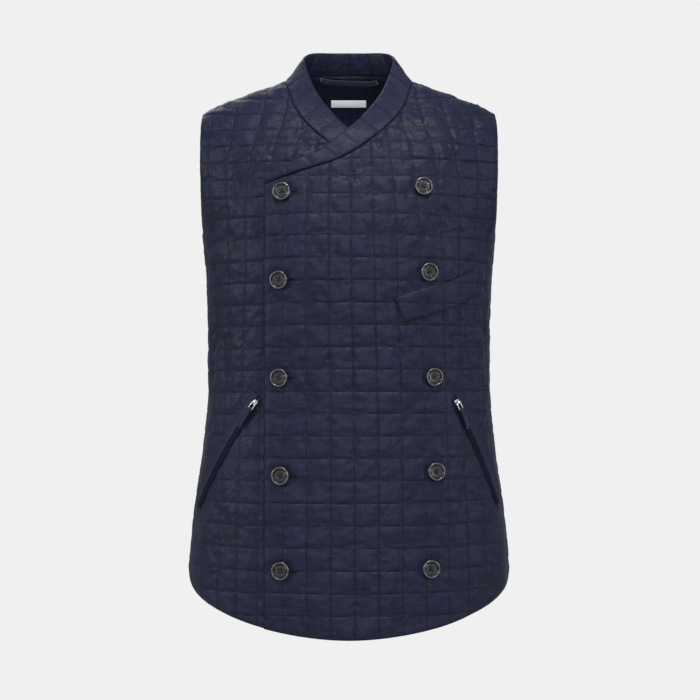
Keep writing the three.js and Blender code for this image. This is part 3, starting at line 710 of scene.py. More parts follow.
def dimples(panel, flat):
    """1 away from the buttons, 0 under them, where their thread draws the cloth down."""
    free = np.ones(len(flat))
    for spot in button_spots(panel):
        free = np.minimum(free, smooth(11, 19, np.linalg.norm(flat - spot, axis=1)))
    return free


def pressed(panel, flat):
    """1 where nothing lies on the padding, 0 under a pocket strip."""
    free = np.ones(len(flat))
    line = pocket_line(panel)
    if line is not None:
        off, _ = off_line(flat, line[0], line[1] + 0.06 * (line[1] - line[0]))
        free = np.minimum(free, smooth(15, 26, off))
    return free


def relief(panel, flat):
    """The cloth's small forms added up: puckers, crinkles, gathers, creases and pulls,
    shallower towards the sides, where the outline shows them."""
    seed = RELIEF_SEEDS[panel.name]
    walk, _ = panel.lie_at(flat[:, 0], flat[:, 1])
    total = 1.6 * puckers(flat, panel.cells(flat), seed) + 2.1 * crinkles(flat, seed)
    total += 2.3 * gathers(panel, flat, seed) + 1.3 * creases(panel, flat) + 2 * pulls(panel, flat)
    total += 2.2 * neck_gathers(panel, flat, seed)
    return total * (1 - 0.65 * smooth(200, 225, np.abs(walk)))


def padding(panel, flat, edge):
    """Height of the outer side over the plain inner one: the pillows between stitch and
    crown wall, flatter towards the sides, plus the relief; thin at the cloth's edge."""
    walk, _ = panel.lie_at(flat[:, 0], flat[:, 1])
    pillow = pillows(panel.cells(flat))
    pillow += (0.75 - pillow) * 0.6 * smooth(175, 225, np.abs(walk))
    free, clear = pressed(panel, flat), dimples(panel, flat)
    crown = PRESSED_WALL + (CROWN_WALL - PRESSED_WALL) * free
    height = STITCH_WALL + (crown - STITCH_WALL) * pillow
    height += relief(panel, flat) * free * (0.3 + 0.7 * pillow)
    height = DIMPLE_WALL + (height - DIMPLE_WALL) * clear
    rim = smooth(0, 7, edge)
    height = EDGE_WALL + (height - EDGE_WALL) * (0.25 + 0.75 * rim)
    return np.clip(height, LEAST_WALL, CROWN_WALL + HIGHEST_FOLD)


# Meshes

def make_object(name, points, faces, material, uv=None, smooth_shade=True):
    """A mesh object from arrays: points in millimetres, faces as corner numbers, and a
    UV place for each point or one for all."""
    mesh = bpy.data.meshes.new(name)
    mesh.from_pydata((np.asarray(points) * MM).tolist(), [], faces)
    if uv is not None:
        layer = mesh.uv_layers.new(name="cloth")
        corners = np.empty(len(mesh.loops), np.int32)
        mesh.loops.foreach_get("vertex_index", corners)
        places = np.broadcast_to(np.asarray(uv, np.float32), (len(points), 2))
        layer.data.foreach_set("uv", places[corners].ravel())
    mesh.polygons.foreach_set("use_smooth", [smooth_shade] * len(mesh.polygons))
    mesh.materials.append(material)
    mesh.update()
    made = bpy.data.objects.new(name, mesh)
    bpy.context.scene.collection.objects.link(made)
    return made


# Shares of a quilt square at which grid lines run, closer beside the stitch line.
FRONT_STEPS = np.array([0, 0.04, 0.1, 0.17, 0.26, 0.37, 0.48, 0.59, 0.7, 0.8, 0.89, 0.955])
BACK_STEPS = np.array([0, 0.045, 0.11, 0.2, 0.33, 0.5, 0.67, 0.8, 0.89, 0.955])


def grid_lines(low, high, phase, steps):
    """Grid lines from low to high, closer together beside each stitch line."""
    first = int(np.floor((low - phase) / CELL)) - 1
    last = int(np.ceil((high - phase) / CELL)) + 1
    cells = np.arange(first, last)[:, None] + steps[None, :]
    return phase + CELL * cells.ravel()


def sharp_corners(outline, least=0.6):
    """The outline's points where its direction turns by more than least radians."""
    before = unit(outline - np.roll(outline, 1, axis=0))
    after = unit(np.roll(outline, -1, axis=0) - outline)
    turn = np.arccos(np.clip((before * after).sum(axis=1), -1, 1))
    return outline[turn > least]


def cut_grid(panel, outline):
    """The grid's points and squares inside an outline. Squares whose middle is inside
    are kept, and the points on their rim move to the nearest place on the outline."""
    steps = BACK_STEPS if panel.name == "back" else FRONT_STEPS
    us = grid_lines(outline[:, 0].min(), outline[:, 0].max(), panel.phase[0], steps)
    vs = grid_lines(outline[:, 1].min(), outline[:, 1].max(), panel.phase[1], steps)
    uu, vv = np.meshgrid(us, vs)
    points = np.stack((uu.ravel(), vv.ravel()), axis=1)
    i, j = np.meshgrid(np.arange(len(us) - 1), np.arange(len(vs) - 1))
    first = (j * len(us) + i).ravel()
    squares = np.stack((first, first + 1, first + 1 + len(us), first + len(us)), axis=1)
    keep = inside(points[squares].mean(axis=1), outline)
    squares = squares[keep]

    edges = np.concatenate([squares[:, [k, (k + 1) % 4]] for k in range(4)])
    low, high = edges.min(axis=1), edges.max(axis=1)
    key = low.astype(np.int64) * len(points) + high
    _, where, count = np.unique(key, return_index=True, return_counts=True)
    rim = edges[where[count == 1]]
    rim_points = np.unique(rim)
    _, snapped = nearest_on(points[rim_points], outline)
    points[rim_points] = snapped
    for corner in sharp_corners(outline):
        nearest = rim_points[np.argmin(np.linalg.norm(points[rim_points] - corner, axis=1))]
        points[nearest] = corner

    used, numbers = np.unique(squares, return_inverse=True)
    renumber = np.full(len(points), -1)
    renumber[used] = np.arange(len(used))
    return points[used], numbers.reshape(squares.shape), renumber[rim]


def shell(flat, squares, rim, outer, inner, name, material, uv, flip):
    """A closed shell of two layers over the same grid, joined round the rim."""
    count = len(flat)
    faces = np.vstack((squares, squares[:, ::-1] + count))
    walls = np.stack((rim[:, 1], rim[:, 0], rim[:, 0] + count, rim[:, 1] + count), axis=1)
    faces = np.vstack((faces, walls))
    if flip:
        faces = faces[:, ::-1]
    points, places = np.vstack((outer, inner)), np.vstack((uv, uv))
    return make_object(name, points, faces.tolist(), material, places)


WELT_PADDING = 0.62  # of a panel's own


def quilted(panel, outline, name, material, base=0, thin=0):
    """A quilted piece: the outer side carries the padding, the inner side is drawn in a
    little at the stitches. A piece laid on another starts at the height base, is plain
    inside and at most thin above it."""
    flat, squares, rim = cut_grid(panel, outline)
    edge, _ = nearest_on(flat, outline)
    height = padding(panel, flat, edge)
    if base:
        height = np.minimum(height * WELT_PADDING, thin)
    pillow = pillows(panel.cells(flat)) * smooth(0, 7, edge)
    outer = panel.place(flat, base + height)
    inner = panel.place(flat, base + (0 if base else 0.5 - 0.6 * pillow))
    uv, flip = panel.cells(flat), panel.face > 0
    made = shell(flat, squares, rim, outer, inner, name, material, uv, flip)
    # Painted shade for the material: the number "turned" darkens the colour in a narrow band along
    # the cut edges, where the edge's shadow falls, and the trough number darkens it where the relief
    # sinks, where shade gathers in the folds.
    turned = 0.8 * np.exp(-((edge / 1.3) ** 2))
    painted_trough_shade = 0.3 * smooth(0.25, 1.2, -relief(panel, flat))
    point_values(made, "turned", np.tile(turned, 2))
    point_values(made, "painted_trough_shade", np.tile(painted_trough_shade, 2))
    return made


def tube_faces(count, around, closed=False):
    """The squares of a grid of count rings with around points each, every ring closed;
    with closed, the last ring is joined to the first as well."""
    last = count if closed else count - 1
    i, k = np.meshgrid(np.arange(last), np.arange(around), indexing="ij")
    here, after, beside_k = i * around, (i + 1) % count * around, (k + 1) % around
    corners = (here + k, here + beside_k, after + beside_k, after + k)
    return np.stack(corners, axis=-1).reshape(-1, 4).tolist()


def point_values(made, title, values):
    """Stores a number for each point, which the material reads by its title."""
    layer = made.data.attributes.new(title, "FLOAT", "POINT")
    layer.data.foreach_set("value", values)


def loft(ring, stations, place):
    """A closed tube: ring is rows of two values, stations rows of one, and place gives
    the points for arrays of both. Returns points and faces with flat ends."""
    ring = np.asarray(ring, float)
    n, m = len(stations), len(ring)
    t = np.repeat(stations, m)
    a, b = np.tile(ring[:, 0], n), np.tile(ring[:, 1], n)
    ends = [list(range(m))[::-1], list(range((n - 1) * m, n * m))]
    return place(t, a, b), tube_faces(n, m) + ends


def outward(points, faces):
    """The same faces, turned round if the closed form they bound has negative volume."""
    volume = 0.0
    p = np.asarray(points)
    for face in faces:
        for k in range(1, len(face) - 1):
            volume += float(np.dot(p[face[0]], np.cross(p[face[k]], p[face[k + 1]])))
    return faces if volume > 0 else [face[::-1] for face in faces]


def lofted(name, ring, count, place, material, uv=None):
    """The object of a closed tube with count stations at even shares of its length."""
    points, faces = loft(ring, np.linspace(0, 1, count), place)
    return make_object(name, points, outward(points, faces), material, uv)


def rounded_ring(half_width, low, high, corner, steps=4):
    """A rectangle with round corners, as rows of (across, out)."""
    corner = min(corner, half_width, (high - low) / 2)
    middles = [
        (half_width - corner, low + corner, -90), (half_width - corner, high - corner, 0),
        (corner - half_width, high - corner, 90), (corner - half_width, low + corner, 180),
    ]
    rows = []
    for x, y, start in middles:
        for turn in np.radians(np.linspace(start, start + 90, steps + 1)):
            rows.append((x + corner * np.cos(turn), y + corner * np.sin(turn)))
    return rows


# Materials

def linear(hex_colour):
    """Linear RGBA of an sRGB hex colour."""
    value = np.array([int(hex_colour[k:k + 2], 16) for k in (1, 3, 5)]) / 255
    made = np.where(value <= 0.04045, value / 12.92, ((value + 0.055) / 1.055) ** 2.4)
    return (*made.tolist(), 1)


def start_material(name, **sockets):
    material = bpy.data.materials.new(name)
    material.use_nodes = True
    tree = material.node_tree
    shader = tree.nodes["Principled BSDF"]
    for socket, value in sockets.items():
        shader.inputs[socket.replace("_", " ")].default_value = value
    return material, tree, shader


def feed(tree, shader, **outputs):
    """Links outputs to the shader's sockets, with _ for a space in a socket's name."""
    for socket, output in outputs.items():
        tree.links.new(output, shader.inputs[socket.replace("_", " ")])


def node(tree, kind, settings=None, **inputs):
    """Adds a node, sets its properties, and gives each input a value or a link. An
    input's name is its socket's, or in_ and its number."""
    made = tree.nodes.new(kind)
    for key, value in (settings or {}).items():
        setattr(made, key, value)
    for key, value in inputs.items():
        socket = made.inputs[int(key[3:])] if key.startswith("in_") else made.inputs[key]
        if isinstance(value, bpy.types.NodeSocket):
            tree.links.new(value, socket)
        else:
            socket.default_value = value
    return made


def maths(tree, operation, *values):
    inputs = {f"in_{k}": value for k, value in enumerate(values)}
    return node(tree, "ShaderNodeMath", {"operation": operation}, **inputs).outputs[0]


def object_place(tree):
    return node(tree, "ShaderNodeTexCoord").outputs["Object"]


def grain(tree, place, size, detail=2.0, rough=0.5):
    """Noise whose blotches are about size millimetres across."""
    made = node(
        tree, "ShaderNodeTexNoise", None,
        Vector=place, Scale=1000 / size, Detail=detail, Roughness=rough,
    )
    return made.outputs["Fac"]


def ribs(tree, place, direction, scale, distortion, detail=2.0):
    """Bands of a wave, as the ribs of a weave or the turns of a thread."""
    made = node(
        tree, "ShaderNodeTexWave", {"bands_direction": direction},
        Vector=place, Scale=scale, Distortion=distortion, Detail=detail,
    )
    return made.outputs["Fac"]


def stored(tree, title):
    """A number that the mesh holds for each point."""
    return node(tree, "ShaderNodeAttribute", {"attribute_name": title}).outputs["Fac"]


def blend_colour(tree, share, first, second):
    made = node(tree, "ShaderNodeMix", {"data_type": "RGBA"}, in_0=share, in_6=first, in_7=second)
    return made.outputs[2]


def bump(tree, height, distance, strength=1.0, below=None):
    extra = {"Normal": below} if below is not None else {}
    made = node(
        tree, "ShaderNodeBump", None,
        Height=height, Distance=distance * MM, Strength=strength, **extra,
    )
    return made.outputs["Normal"]


STITCH_PITCH = 3.2
CREASE_OFF = 2.0  # from a stitch line to the painted crease shadow beside it


def fading(tree, value, full, none):
    """1 up to full, smoothly down to 0 at none."""
    return node(
        tree, "ShaderNodeMapRange", {"interpolation_type": "SMOOTHSTEP"},
        in_0=value, in_1=full, in_2=none, in_3=1.0, in_4=0.0,
    ).outputs[0]


def stitch_lines(tree, cloth, both=True):
    """From the UV map counted in squares: the groove along the stitch lines, the line of a
    painted crease shadow 2 mm beside it, and the thread's short stitches in it, each from
    0 to 1. The groove and the crease only say where painted shade darkens the colour."""
    parts = node(tree, "ShaderNodeSeparateXYZ", None, Vector=cloth)
    places = [parts.outputs[0], parts.outputs[1]]
    found = None
    for k in (0, 1) if both else (0,):
        off = maths(tree, "MULTIPLY", maths(tree, "PINGPONG", places[k], 0.5), CELL)
        step = maths(tree, "FRACT", maths(tree, "MULTIPLY", places[1 - k], CELL / STITCH_PITCH))
        dash = maths(tree, "POWER", maths(tree, "SINE", maths(tree, "MULTIPLY", step, np.pi)), 0.5)
        to_crease = maths(tree, "ABSOLUTE", maths(tree, "SUBTRACT", off, CREASE_OFF))
        line = [
            fading(tree, off, 0.3, 1.1),
            fading(tree, to_crease, 0.15, 0.75),
            maths(tree, "MULTIPLY", fading(tree, off, 0.1, 0.5), dash),
        ]
        if found:
            line = [maths(tree, "MAXIMUM", a, b) for a, b in zip(found, line)]
        found = line
    return found


def quilted_nylon(name, both=True):
    """Light navy nylon taffeta, quilted: a woven grain, crinkles, thread in the stitch
    grooves and a soft sheen. Painted shade darkens its colour in the stitch grooves, along
    a fainter crease shadow beside some of them, along the cut edges and in the relief's
    troughs."""
    material, tree, shader = start_material(
        name, Roughness=0.5, Specular_IOR_Level=0.1, Sheen_Weight=0.05, Sheen_Roughness=0.4,
    )
    shader.inputs["Sheen Tint"].default_value = linear("#a9b0cc")
    place = object_place(tree)
    cloth = node(tree, "ShaderNodeUVMap", {"uv_map": "cloth"}).outputs[0]
    groove, crease, thread = stitch_lines(tree, cloth, both)
    patch = grain(tree, place, 34, 3)
    fleck = grain(tree, place, 1.3, 2)
    cloth_colour = blend_colour(tree, patch, linear("#131526"), linear("#171a2d"))
    fleck = maths(tree, "MULTIPLY", fleck, 0.3)
    cloth_colour = blend_colour(tree, fleck, cloth_colour, linear("#24283d"))
    spread = node(
        tree, "ShaderNodeMapRange", {"interpolation_type": "SMOOTHSTEP"},
        in_0=grain(tree, place, 19, 2), in_1=0.48, in_2=0.62, in_3=0.0, in_4=0.4,
    ).outputs[0]
    # Painted shade: the colour darkens towards #090a12 in the stitch grooves, along the crease shadow
    # beside them, along the cut edges and where the relief sinks.
    dark = maths(tree, "MULTIPLY", groove, 0.66)
    painted_crease_shadow = maths(tree, "MULTIPLY", crease, spread)
    for other in (painted_crease_shadow, stored(tree, "turned"), stored(tree, "painted_trough_shade")):
        dark = maths(tree, "MAXIMUM", dark, other)
    colour = blend_colour(tree, dark, cloth_colour, linear("#090a12"))
    rough = node(
        tree, "ShaderNodeMapRange", None, in_0=patch, in_1=0.3, in_2=0.7, in_3=0.42, in_4=0.54,
    ).outputs[0]
    weave = grain(tree, place, 0.45, 1)
    crinkle = grain(tree, place, 5.5, 3, 0.6)
    normal = bump(tree, weave, 0.05, 0.5)
    normal = bump(tree, crinkle, 1.0, 1.1, normal)
    normal = bump(tree, thread, 0.25, 0.8, normal)
    feed(tree, shader, Base_Color=colour, Roughness=rough, Normal=normal)
    return material


def woven_tape(name, light, dark, sheen=0.3):
    """Matt navy tape with a fine cross rib."""
    material, tree, shader = start_material(
        name, Roughness=0.8, Specular_IOR_Level=0.15, Sheen_Weight=sheen,
    )
    place = object_place(tree)
    rib = ribs(tree, place, "DIAGONAL", 420.0, 0.4, 1.0)
    spots = grain(tree, place, 2.2, 2)
    colour = blend_colour(tree, maths(tree, "MULTIPLY", rib, spots), linear(dark), linear(light))
    feed(tree, shader, Base_Color=colour, Normal=bump(tree, rib, 0.12, 0.7))
    return material


def polished_horn():
    """Dark polished horn-like resin, faintly streaked, under a clear gloss; a painted highlight
    lightens its rim and a painted reflection its dish.
    """
    material, tree, shader = start_material(
        "dark horn resin",
        Roughness=0.34, Specular_IOR_Level=0.6, Coat_Weight=0.5, Coat_Roughness=0.16,
    )
    place = object_place(tree)
    stretched = node(tree, "ShaderNodeMapping", None, Vector=place, Scale=(1.0, 1.0, 3.5))
    streak = maths(tree, "POWER", grain(tree, stretched.outputs[0], 5, 5, 0.65), 2.2)
    colour = blend_colour(tree, streak, linear("#020203"), linear("#0b0b0c"))
    # Painted highlight on the rim and painted reflection in the dish: the colour goes to grey by the
    # points' stored number.
    colour = blend_colour(tree, stored(tree, "painted_highlight"), colour, linear("#333437"))
    fine = grain(tree, place, 0.8, 2)
    feed(tree, shader, Base_Color=colour, Normal=bump(tree, fine, 0.02, 0.4))
    return material


def plated_metal():
    """Bright nickel plate, die cast and tumbled: fine scratches in its gloss."""
    material, tree, shader = start_material("nickel plate", Metallic=1.0)
    place = object_place(tree)
    wear = grain(tree, place, 1.5, 4, 0.6)
    colour = blend_colour(tree, wear, linear("#b9bbbb"), linear("#e6e7e4"))
    rough = node(
        tree, "ShaderNodeMapRange", None, in_0=wear, in_1=0.2, in_2=0.8, in_3=0.16, in_4=0.34,
    ).outputs[0]
    feed(tree, shader, Base_Color=colour, Roughness=rough, Normal=bump(tree, wear, 0.03, 0.3))
    return material


def woven_label():
    """White satin weave of a bare label."""
    material, tree, shader = start_material("white satin weave", Roughness=0.5, Sheen_Weight=0.4)
    place = object_place(tree)
    rib = ribs(tree, place, "Z", 900.0, 0.3)
    lit = maths(tree, "MULTIPLY", grain(tree, place, 3, 2), rib)
    colour = blend_colour(tree, lit, linear("#eef2f8"), linear("#fbfcfe"))
    feed(tree, shader, Base_Color=colour, Normal=bump(tree, rib, 0.05, 0.5))
    return material


def sewing_thread(name, light, dark):
    """Twisted polyester thread."""
    material, tree, shader = start_material(name, Roughness=0.7, Specular_IOR_Level=0.15)
    twist = ribs(tree, object_place(tree), "DIAGONAL", 900.0, 0.2)
    colour = blend_colour(tree, twist, linear(dark), linear(light))
    feed(tree, shader, Base_Color=colour, Normal=bump(tree, twist, 0.1, 0.8))
    return material


nylon = quilted_nylon("quilted nylon taffeta")
band_nylon = quilted_nylon("quilted nylon band", both=False)
tape = woven_tape("navy twill tape", "#2a2f47", "#1c2033")
tab_tape = woven_tape("navy twill tab", "#1d213a", "#14172a", 0.1)
coil = woven_tape("navy zip coil", "#14172b", "#0e1021", 0.0)
horn = polished_horn()
metal = plated_metal()
satin = woven_label()
thread = sewing_thread("navy twisted thread", "#2a2e40", "#14161f")
black_thread = sewing_thread("black buttonhole twist", "#0b0c11", "#040406")


def finish_piece(made, rides="vest", stands_for=()):
    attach(made, rides)
    if stands_for:
        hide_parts(*stands_for)


# Panels

def flat_size(outline):
    """Width, length and area of a flat outline, in metres and square metres."""
    x, y = outline[:, 0], outline[:, 1]
    area = abs(np.dot(x, np.roll(y, -1)) - np.dot(y, np.roll(x, -1))) / 2
    return (np.ptp(x) * MM, np.ptp(y) * MM), area * MM * MM


outlines = {
    "left": front_outline(PANELS["left"], 1, LAP_EDGE),
    "right": front_outline(PANELS["right"], -1, UNDER_EDGE),
    "back": back_outline(PANELS["back"]),
}
panel_nodes = {"left": "left_front", "right": "right_front", "back": "back_panel"}
for key, panel in PANELS.items():
    # The right front's outline is turned to run the same way round as the others.
    outline = outlines[key] if key != "right" else outlines[key][::-1]
    piece = quilted(panel, outline, f"quilted_{panel_nodes[key]}", nylon)
    finish_piece(piece, stands_for=[panel_nodes[key]])
    size, area = flat_size(outline)

# Chest welt
welt_outline = np.array([PANELS["left"].flatten_x(x, z) for x, z in WELT_CORNERS])
welt_outline = evenly(np.vstack((welt_outline, welt_outline[:1])), 120)[:-1]
welt_base = CROWN_WALL + 0.45
welt = quilted(PANELS["left"], welt_outline, "sewn_chest_welt", nylon, welt_base, thin=2.4)
finish_piece(welt, stands_for=["chest_welt"])
size, area = flat_size(welt_outline)


# Collar band

def collar_side(side):
    """Seam and upper edge of one side of the band, as polylines with the same number of
    points: the seam evenly by length, the edge by the table's rows at the same shares."""
    back = seam_line(1, side)[1:][::-1]
    front = seam_line(-1, side)
    lap = upper_lap(front[:, 0], front[:, 1]) if side > 0 else np.zeros(len(front))
    seam = np.vstack(
        (
            body_point(1, back[:, 0], back[:, 1], COLLAR_STAND),
            body_point(-1, front[:, 0], front[:, 1], COLLAR_STAND + lap),
        )
    )
    seam = evenly(seam, COLLAR_STEPS)
    edge_lap = COLLAR_LAP if side > 0 else 0
    rows = [
        (row["edge_x"] * side, row["edge_y"] - edge_lap * row["lap"], row["edge_z"])
        for row in collar_rows
    ]
    marks = []
    for row in collar_rows:
        if row["face"]:
            at = point_at_x(row["face"], row["seam_x"] * side, row["seam_z"])
        else:
            at = np.array((row["seam_x"] * side, 0, row["seam_z"]))
        marks.append(np.argmin(np.linalg.norm(seam - at, axis=1)) / COLLAR_STEPS)
    finer = 40
    shares = np.linspace(0, 1, COLLAR_STEPS + 1)
    at = np.interp(shares, marks, np.arange(len(rows)) * finer)
    return seam, read_at(spline(rows, finer, even=False), at)


COLLAR_CELLS = 13  # on each side of the middle of the back
# The band's half thickness by the share of its width, from seam to edge.
COLLAR_PROFILE = [
    (0, 0.7), (0.03, 1.3), (0.12, 1.9), (0.3, 2.2), (0.5, 2.3),
    (0.7, 2.2), (0.88, 1.9), (0.97, 1.3), (1, 0.6),
]


def collar_points(t, share, half):
    """The band: at each station the straight line from seam to edge, thickened to both
    sides; thinner on the cross stitch lines, with puckers beside them and at the seam."""
    right, left = collar_side(-1), collar_side(1)
    seam = np.vstack((right[0][::-1], left[0][1:]))
    edge = np.vstack((right[1][::-1], left[1][1:]))
    ahead = np.gradient(seam, axis=0)
    out = unit(np.cross(ahead, edge - seam))
    at = t * (len(seam) - 1)
    a, b, n = read_at(seam, at), read_at(edge, at), unit(read_at(out, at))
    cell = (t - 0.5) * 2 * COLLAR_CELLS
    pillow = np.abs(np.sin(np.pi * cell)) ** 0.5
    puff = np.where((share > 0.01) & (share < 0.99), 0.5 + 0.5 * pillow, 1)
    length = (t - 0.5) * walked(seam)[-1]
    rim = np.exp(-share / 0.12) + 0.7 * np.exp(-(1 - share) / 0.12)
    ripple = 0.9 * rim * noise(length / 3.8, np.sign(half) * 2.0, 71)
    off = np.abs(cell - np.round(cell)) * CELL
    fold = (off / PUCKER_OFF) * np.exp(1 - off / PUCKER_OFF)
    ripple += 0.4 * noise(share * 7, np.round(cell) * 2.3, 72) * fold
    ripple += 0.8 * noise(length / 7, share * 1.6, 73) * pillow
    body_share = np.clip(np.abs(half) - 0.5, 0, 1)
    thick = half * puff + np.sign(half) * ripple * body_share
    return a + (b - a) * share[:, None] + n * thick[:, None]


fine_profile = np.array(COLLAR_PROFILE)
shares = np.linspace(-0.03, 1, 20)
halves = np.interp(shares, fine_profile[:, 0], fine_profile[:, 1])
collar_ring = list(zip(shares, halves)) + list(zip(shares[::-1], -halves[::-1]))
cell_starts = np.arange(2 * COLLAR_CELLS)[:, None]
collar_stations = np.append((cell_starts + FRONT_STEPS).ravel() / (2 * COLLAR_CELLS), 1.0)
points, faces = loft(collar_ring, collar_stations, collar_points)
station_of = np.repeat(collar_stations, len(collar_ring))
share_of = np.tile([s for s, _ in collar_ring], len(collar_stations))
collar_uv = np.stack(((station_of - 0.5) * 2 * COLLAR_CELLS, 0.25 + 0.5 * share_of), axis=1)
collar = make_object("quilted_collar_band", points, outward(points, faces), band_nylon, collar_uv)
finish_piece(collar, stands_for=["collar"])
left_seam, left_edge = collar_side(1)
band_length = 2 * walked(left_seam)[-1]


# Strips of the side pockets

def strip_place(panel, pocket, start, offset):
    """Places on a strip along the pocket's straight flat line: t of the way from start,
    a share of the line, to its foot, a plus offset beside it, and out from the panel."""
    line = pocket_line(panel)
    ahead = line[1] - line[0]
    across = unit(np.array((-ahead[1], ahead[0]))) * pocket["side"]

    def place(t, a, out):
        along = start + (1 - start) * t
        flat = line[0] + ahead * along[:, None] + across * (a + offset)[:, None]
        return panel.place(flat, out)

    return place, float(np.linalg.norm(ahead))


TAPE_UNDER = PRESSED_WALL + 0.55
TAPE_HALF = 2.6
TAPE_THICK = 1.0
WELT_OFFSET = 8.5
WELT_HALF = 5.5
WELT_THICK = 2.4
TOOTH_PITCH = 1.6


def pocket_strips(side_name, pocket):
    """The zip's tape, a rounded strip along the pocket's line, and the padded welt
    beside it."""
    panel = PANELS[side_name]
    place, length = strip_place(panel, pocket, -0.02, 0)
    ring = rounded_ring(TAPE_HALF, TAPE_UNDER, TAPE_UNDER + TAPE_THICK, 0.4, 2)
    made = lofted(f"zip_tape_{side_name}", ring, 60, place, coil)
    finish_piece(made, stands_for=[f"{side_name}_zip_tape"])

    place, _ = strip_place(panel, pocket, -0.03, WELT_OFFSET)
    ring = np.array(rounded_ring(WELT_HALF, TAPE_UNDER, TAPE_UNDER + WELT_THICK, 1.15, 4))

    def padded_place(t, a, out):
        """The strip's ring, its upper side drawn down along a line of stitching and
        rippled beside it."""
        top = smooth(TAPE_UNDER + 0.8, TAPE_UNDER + 1.6, out)
        groove = 0.7 * np.exp(-(((a - 2.6) / 0.8) ** 2))
        ripple = 0.3 * noise(t * length / 4.0, a / 5, 61)
        return place(t, a, out + top * (ripple - groove))

    fine = []
    for (x0, y0), (x1, y1) in zip(ring, np.roll(ring, -1, axis=0)):
        steps = max(1, int(np.hypot(x1 - x0, y1 - y0) / 0.7))
        fine += [(x0 + (x1 - x0) * k / steps, y0 + (y1 - y0) * k / steps) for k in range(steps)]
    between_stitches = (0.3, 0.3)
    made = lofted(
        f"sewn_pocket_welt_{side_name}", fine, 90, padded_place, band_nylon, between_stitches,
    )
    finish_piece(made, stands_for=[f"{side_name}_pocket_welt"])


def zip_teeth(side_name, pocket):
    """Two rows of small coil loops along the zip, from below the slider to its foot: each
    a box whose corners are set along, across and out from the tape."""
    panel = PANELS[side_name]
    place, length = strip_place(panel, pocket, 0, 0)
    count = int(length / TOOTH_PITCH)
    base = TAPE_UNDER + TAPE_THICK
    points, faces = [], []
    box = np.array([(a, b, c) for a in (0, 1) for b in (0, 1) for c in (0, 1)], float)
    quads = [(0, 1, 3, 2), (4, 6, 7, 5), (0, 4, 5, 1), (2, 3, 7, 6), (0, 2, 6, 4), (1, 5, 7, 3)]
    for k in range(count):
        for row in (-1, 1):
            t = (0.09 * length + (k + 0.25 * row) * TOOTH_PITCH) / length
            if t > 0.985:
                continue
            along = t + (box[:, 0] - 0.5) * 1.0 / length
            across = row * (0.1 + 1.3 * box[:, 1])
            out = base + 0.1 + 0.75 * box[:, 2]
            made = place(along, across, out)
            part = outward(made, [list(q) for q in quads])
            faces += [[corner + len(points) * 8 for corner in face] for face in part]
            points.append(made)
    made = make_object(f"zip_coil_{side_name}", np.vstack(points), faces, coil, smooth_shade=False)
    finish_piece(made)


# The pulls

FRAME_LENGTH = 10
TAB_HALF = 2.1
TAB_LENGTH = 24
TAB_LOOP = 1.45  # radius of its turn round the frame's lower bar
TAB_SIDE = 0.36  # half the distance between the middles of its two layers
TAB_LAYER = 0.32  # half the thickness of a layer
HINGE_FROM_HEAD = 4
HINGE_SEAT = SOLID_WALL + 0.45 + 1 + 0.6 + 3.7  # wall, gap, tape, gap and slider


def hinge_frame(panel):
    """Origin and axes of a pull at its hinge: across the zip, down along it, and out."""
    line = pocket_line(panel)
    step = unit(line[1] - line[0])
    at = line[0] + step * HINGE_FROM_HEAD

    def spot(flat, out=HINGE_SEAT):
        return panel.place(flat[None, :], np.array([out]))[0]

    behind, before = spot(at - step * 4), spot(at + step * 5)
    hinge, inner = spot(at), spot(at, HINGE_SEAT - 1)
    down = unit(before - behind)
    across = unit(np.cross(down, hinge - inner))
    return hinge, across, down, np.cross(across, down)


def zip_tab(side_name, bend):
    """The cloth tab: a tape folded round the frame's lower bar, both halves sewn
    together below it, bending sideways by a constant turn."""
    hinge, across, down, out = hinge_frame(PANELS[side_name])
    bar = FRAME_LENGTH
    arc = np.radians(np.linspace(40, 320, 21))
    loop = np.stack((bar + TAB_LOOP * np.cos(arc), TAB_LOOP * np.sin(arc)), axis=1)
    legs = np.linspace(bar + 3.4, bar + 4 + TAB_LENGTH, 26)
    front = np.stack((legs, TAB_SIDE + 0 * legs), axis=1)
    route = np.vstack((front[::-1], loop, front * (1, -1)))
    ahead = unit(np.gradient(route, axis=0))
    side = np.stack((-ahead[:, 1], ahead[:, 0]), axis=1)

    def place(t, a, b):
        at = t * (len(route) - 1)
        centre = read_at(route, at) + unit(read_at(side, at)) * b[:, None]
        reach = np.maximum(0, centre[:, 0] - bar - 4)
        turn = bend * reach / TAB_LENGTH
        radius = TAB_LENGTH / bend
        shift = radius * (1 - np.cos(turn))
        along = np.where(reach > 0, bar + 4 + radius * np.sin(turn), centre[:, 0])
        x = shift + a * np.cos(turn)
        y = along - a * np.sin(turn)
        return hinge + x[:, None] * across + y[:, None] * down + centre[:, 1][:, None] * out

    ring = rounded_ring(TAB_HALF, -TAB_LAYER, TAB_LAYER, 0.18, 2)
    made = lofted(f"tape_tab_{side_name}", ring, 90, place, tab_tape)
    finish_piece(made, rides=f"{side_name}_pull", stands_for=[f"{side_name}_zip_tab"])


TAB_BEND = {"left": 0.35, "right": -0.2}  # radians from its top to its end

for side_name, pocket in POCKETS.items():
    pocket_strips(side_name, pocket)
    zip_teeth(side_name, pocket)
    zip_tab(side_name, TAB_BEND[side_name])
    for part in ("slider", "pull"):
        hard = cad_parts[f"{side_name}_zip_{part}"]
        hard.data.materials.clear()
        hard.data.materials.append(metal)
        bevel = hard.modifiers.new("worn edges", "BEVEL")
        bevel.width = 0.0003
        bevel.segments = 2
        bevel.limit_method = "ANGLE"


# Buttons

BUTTON_SEAT = SOLID_WALL + 0.4


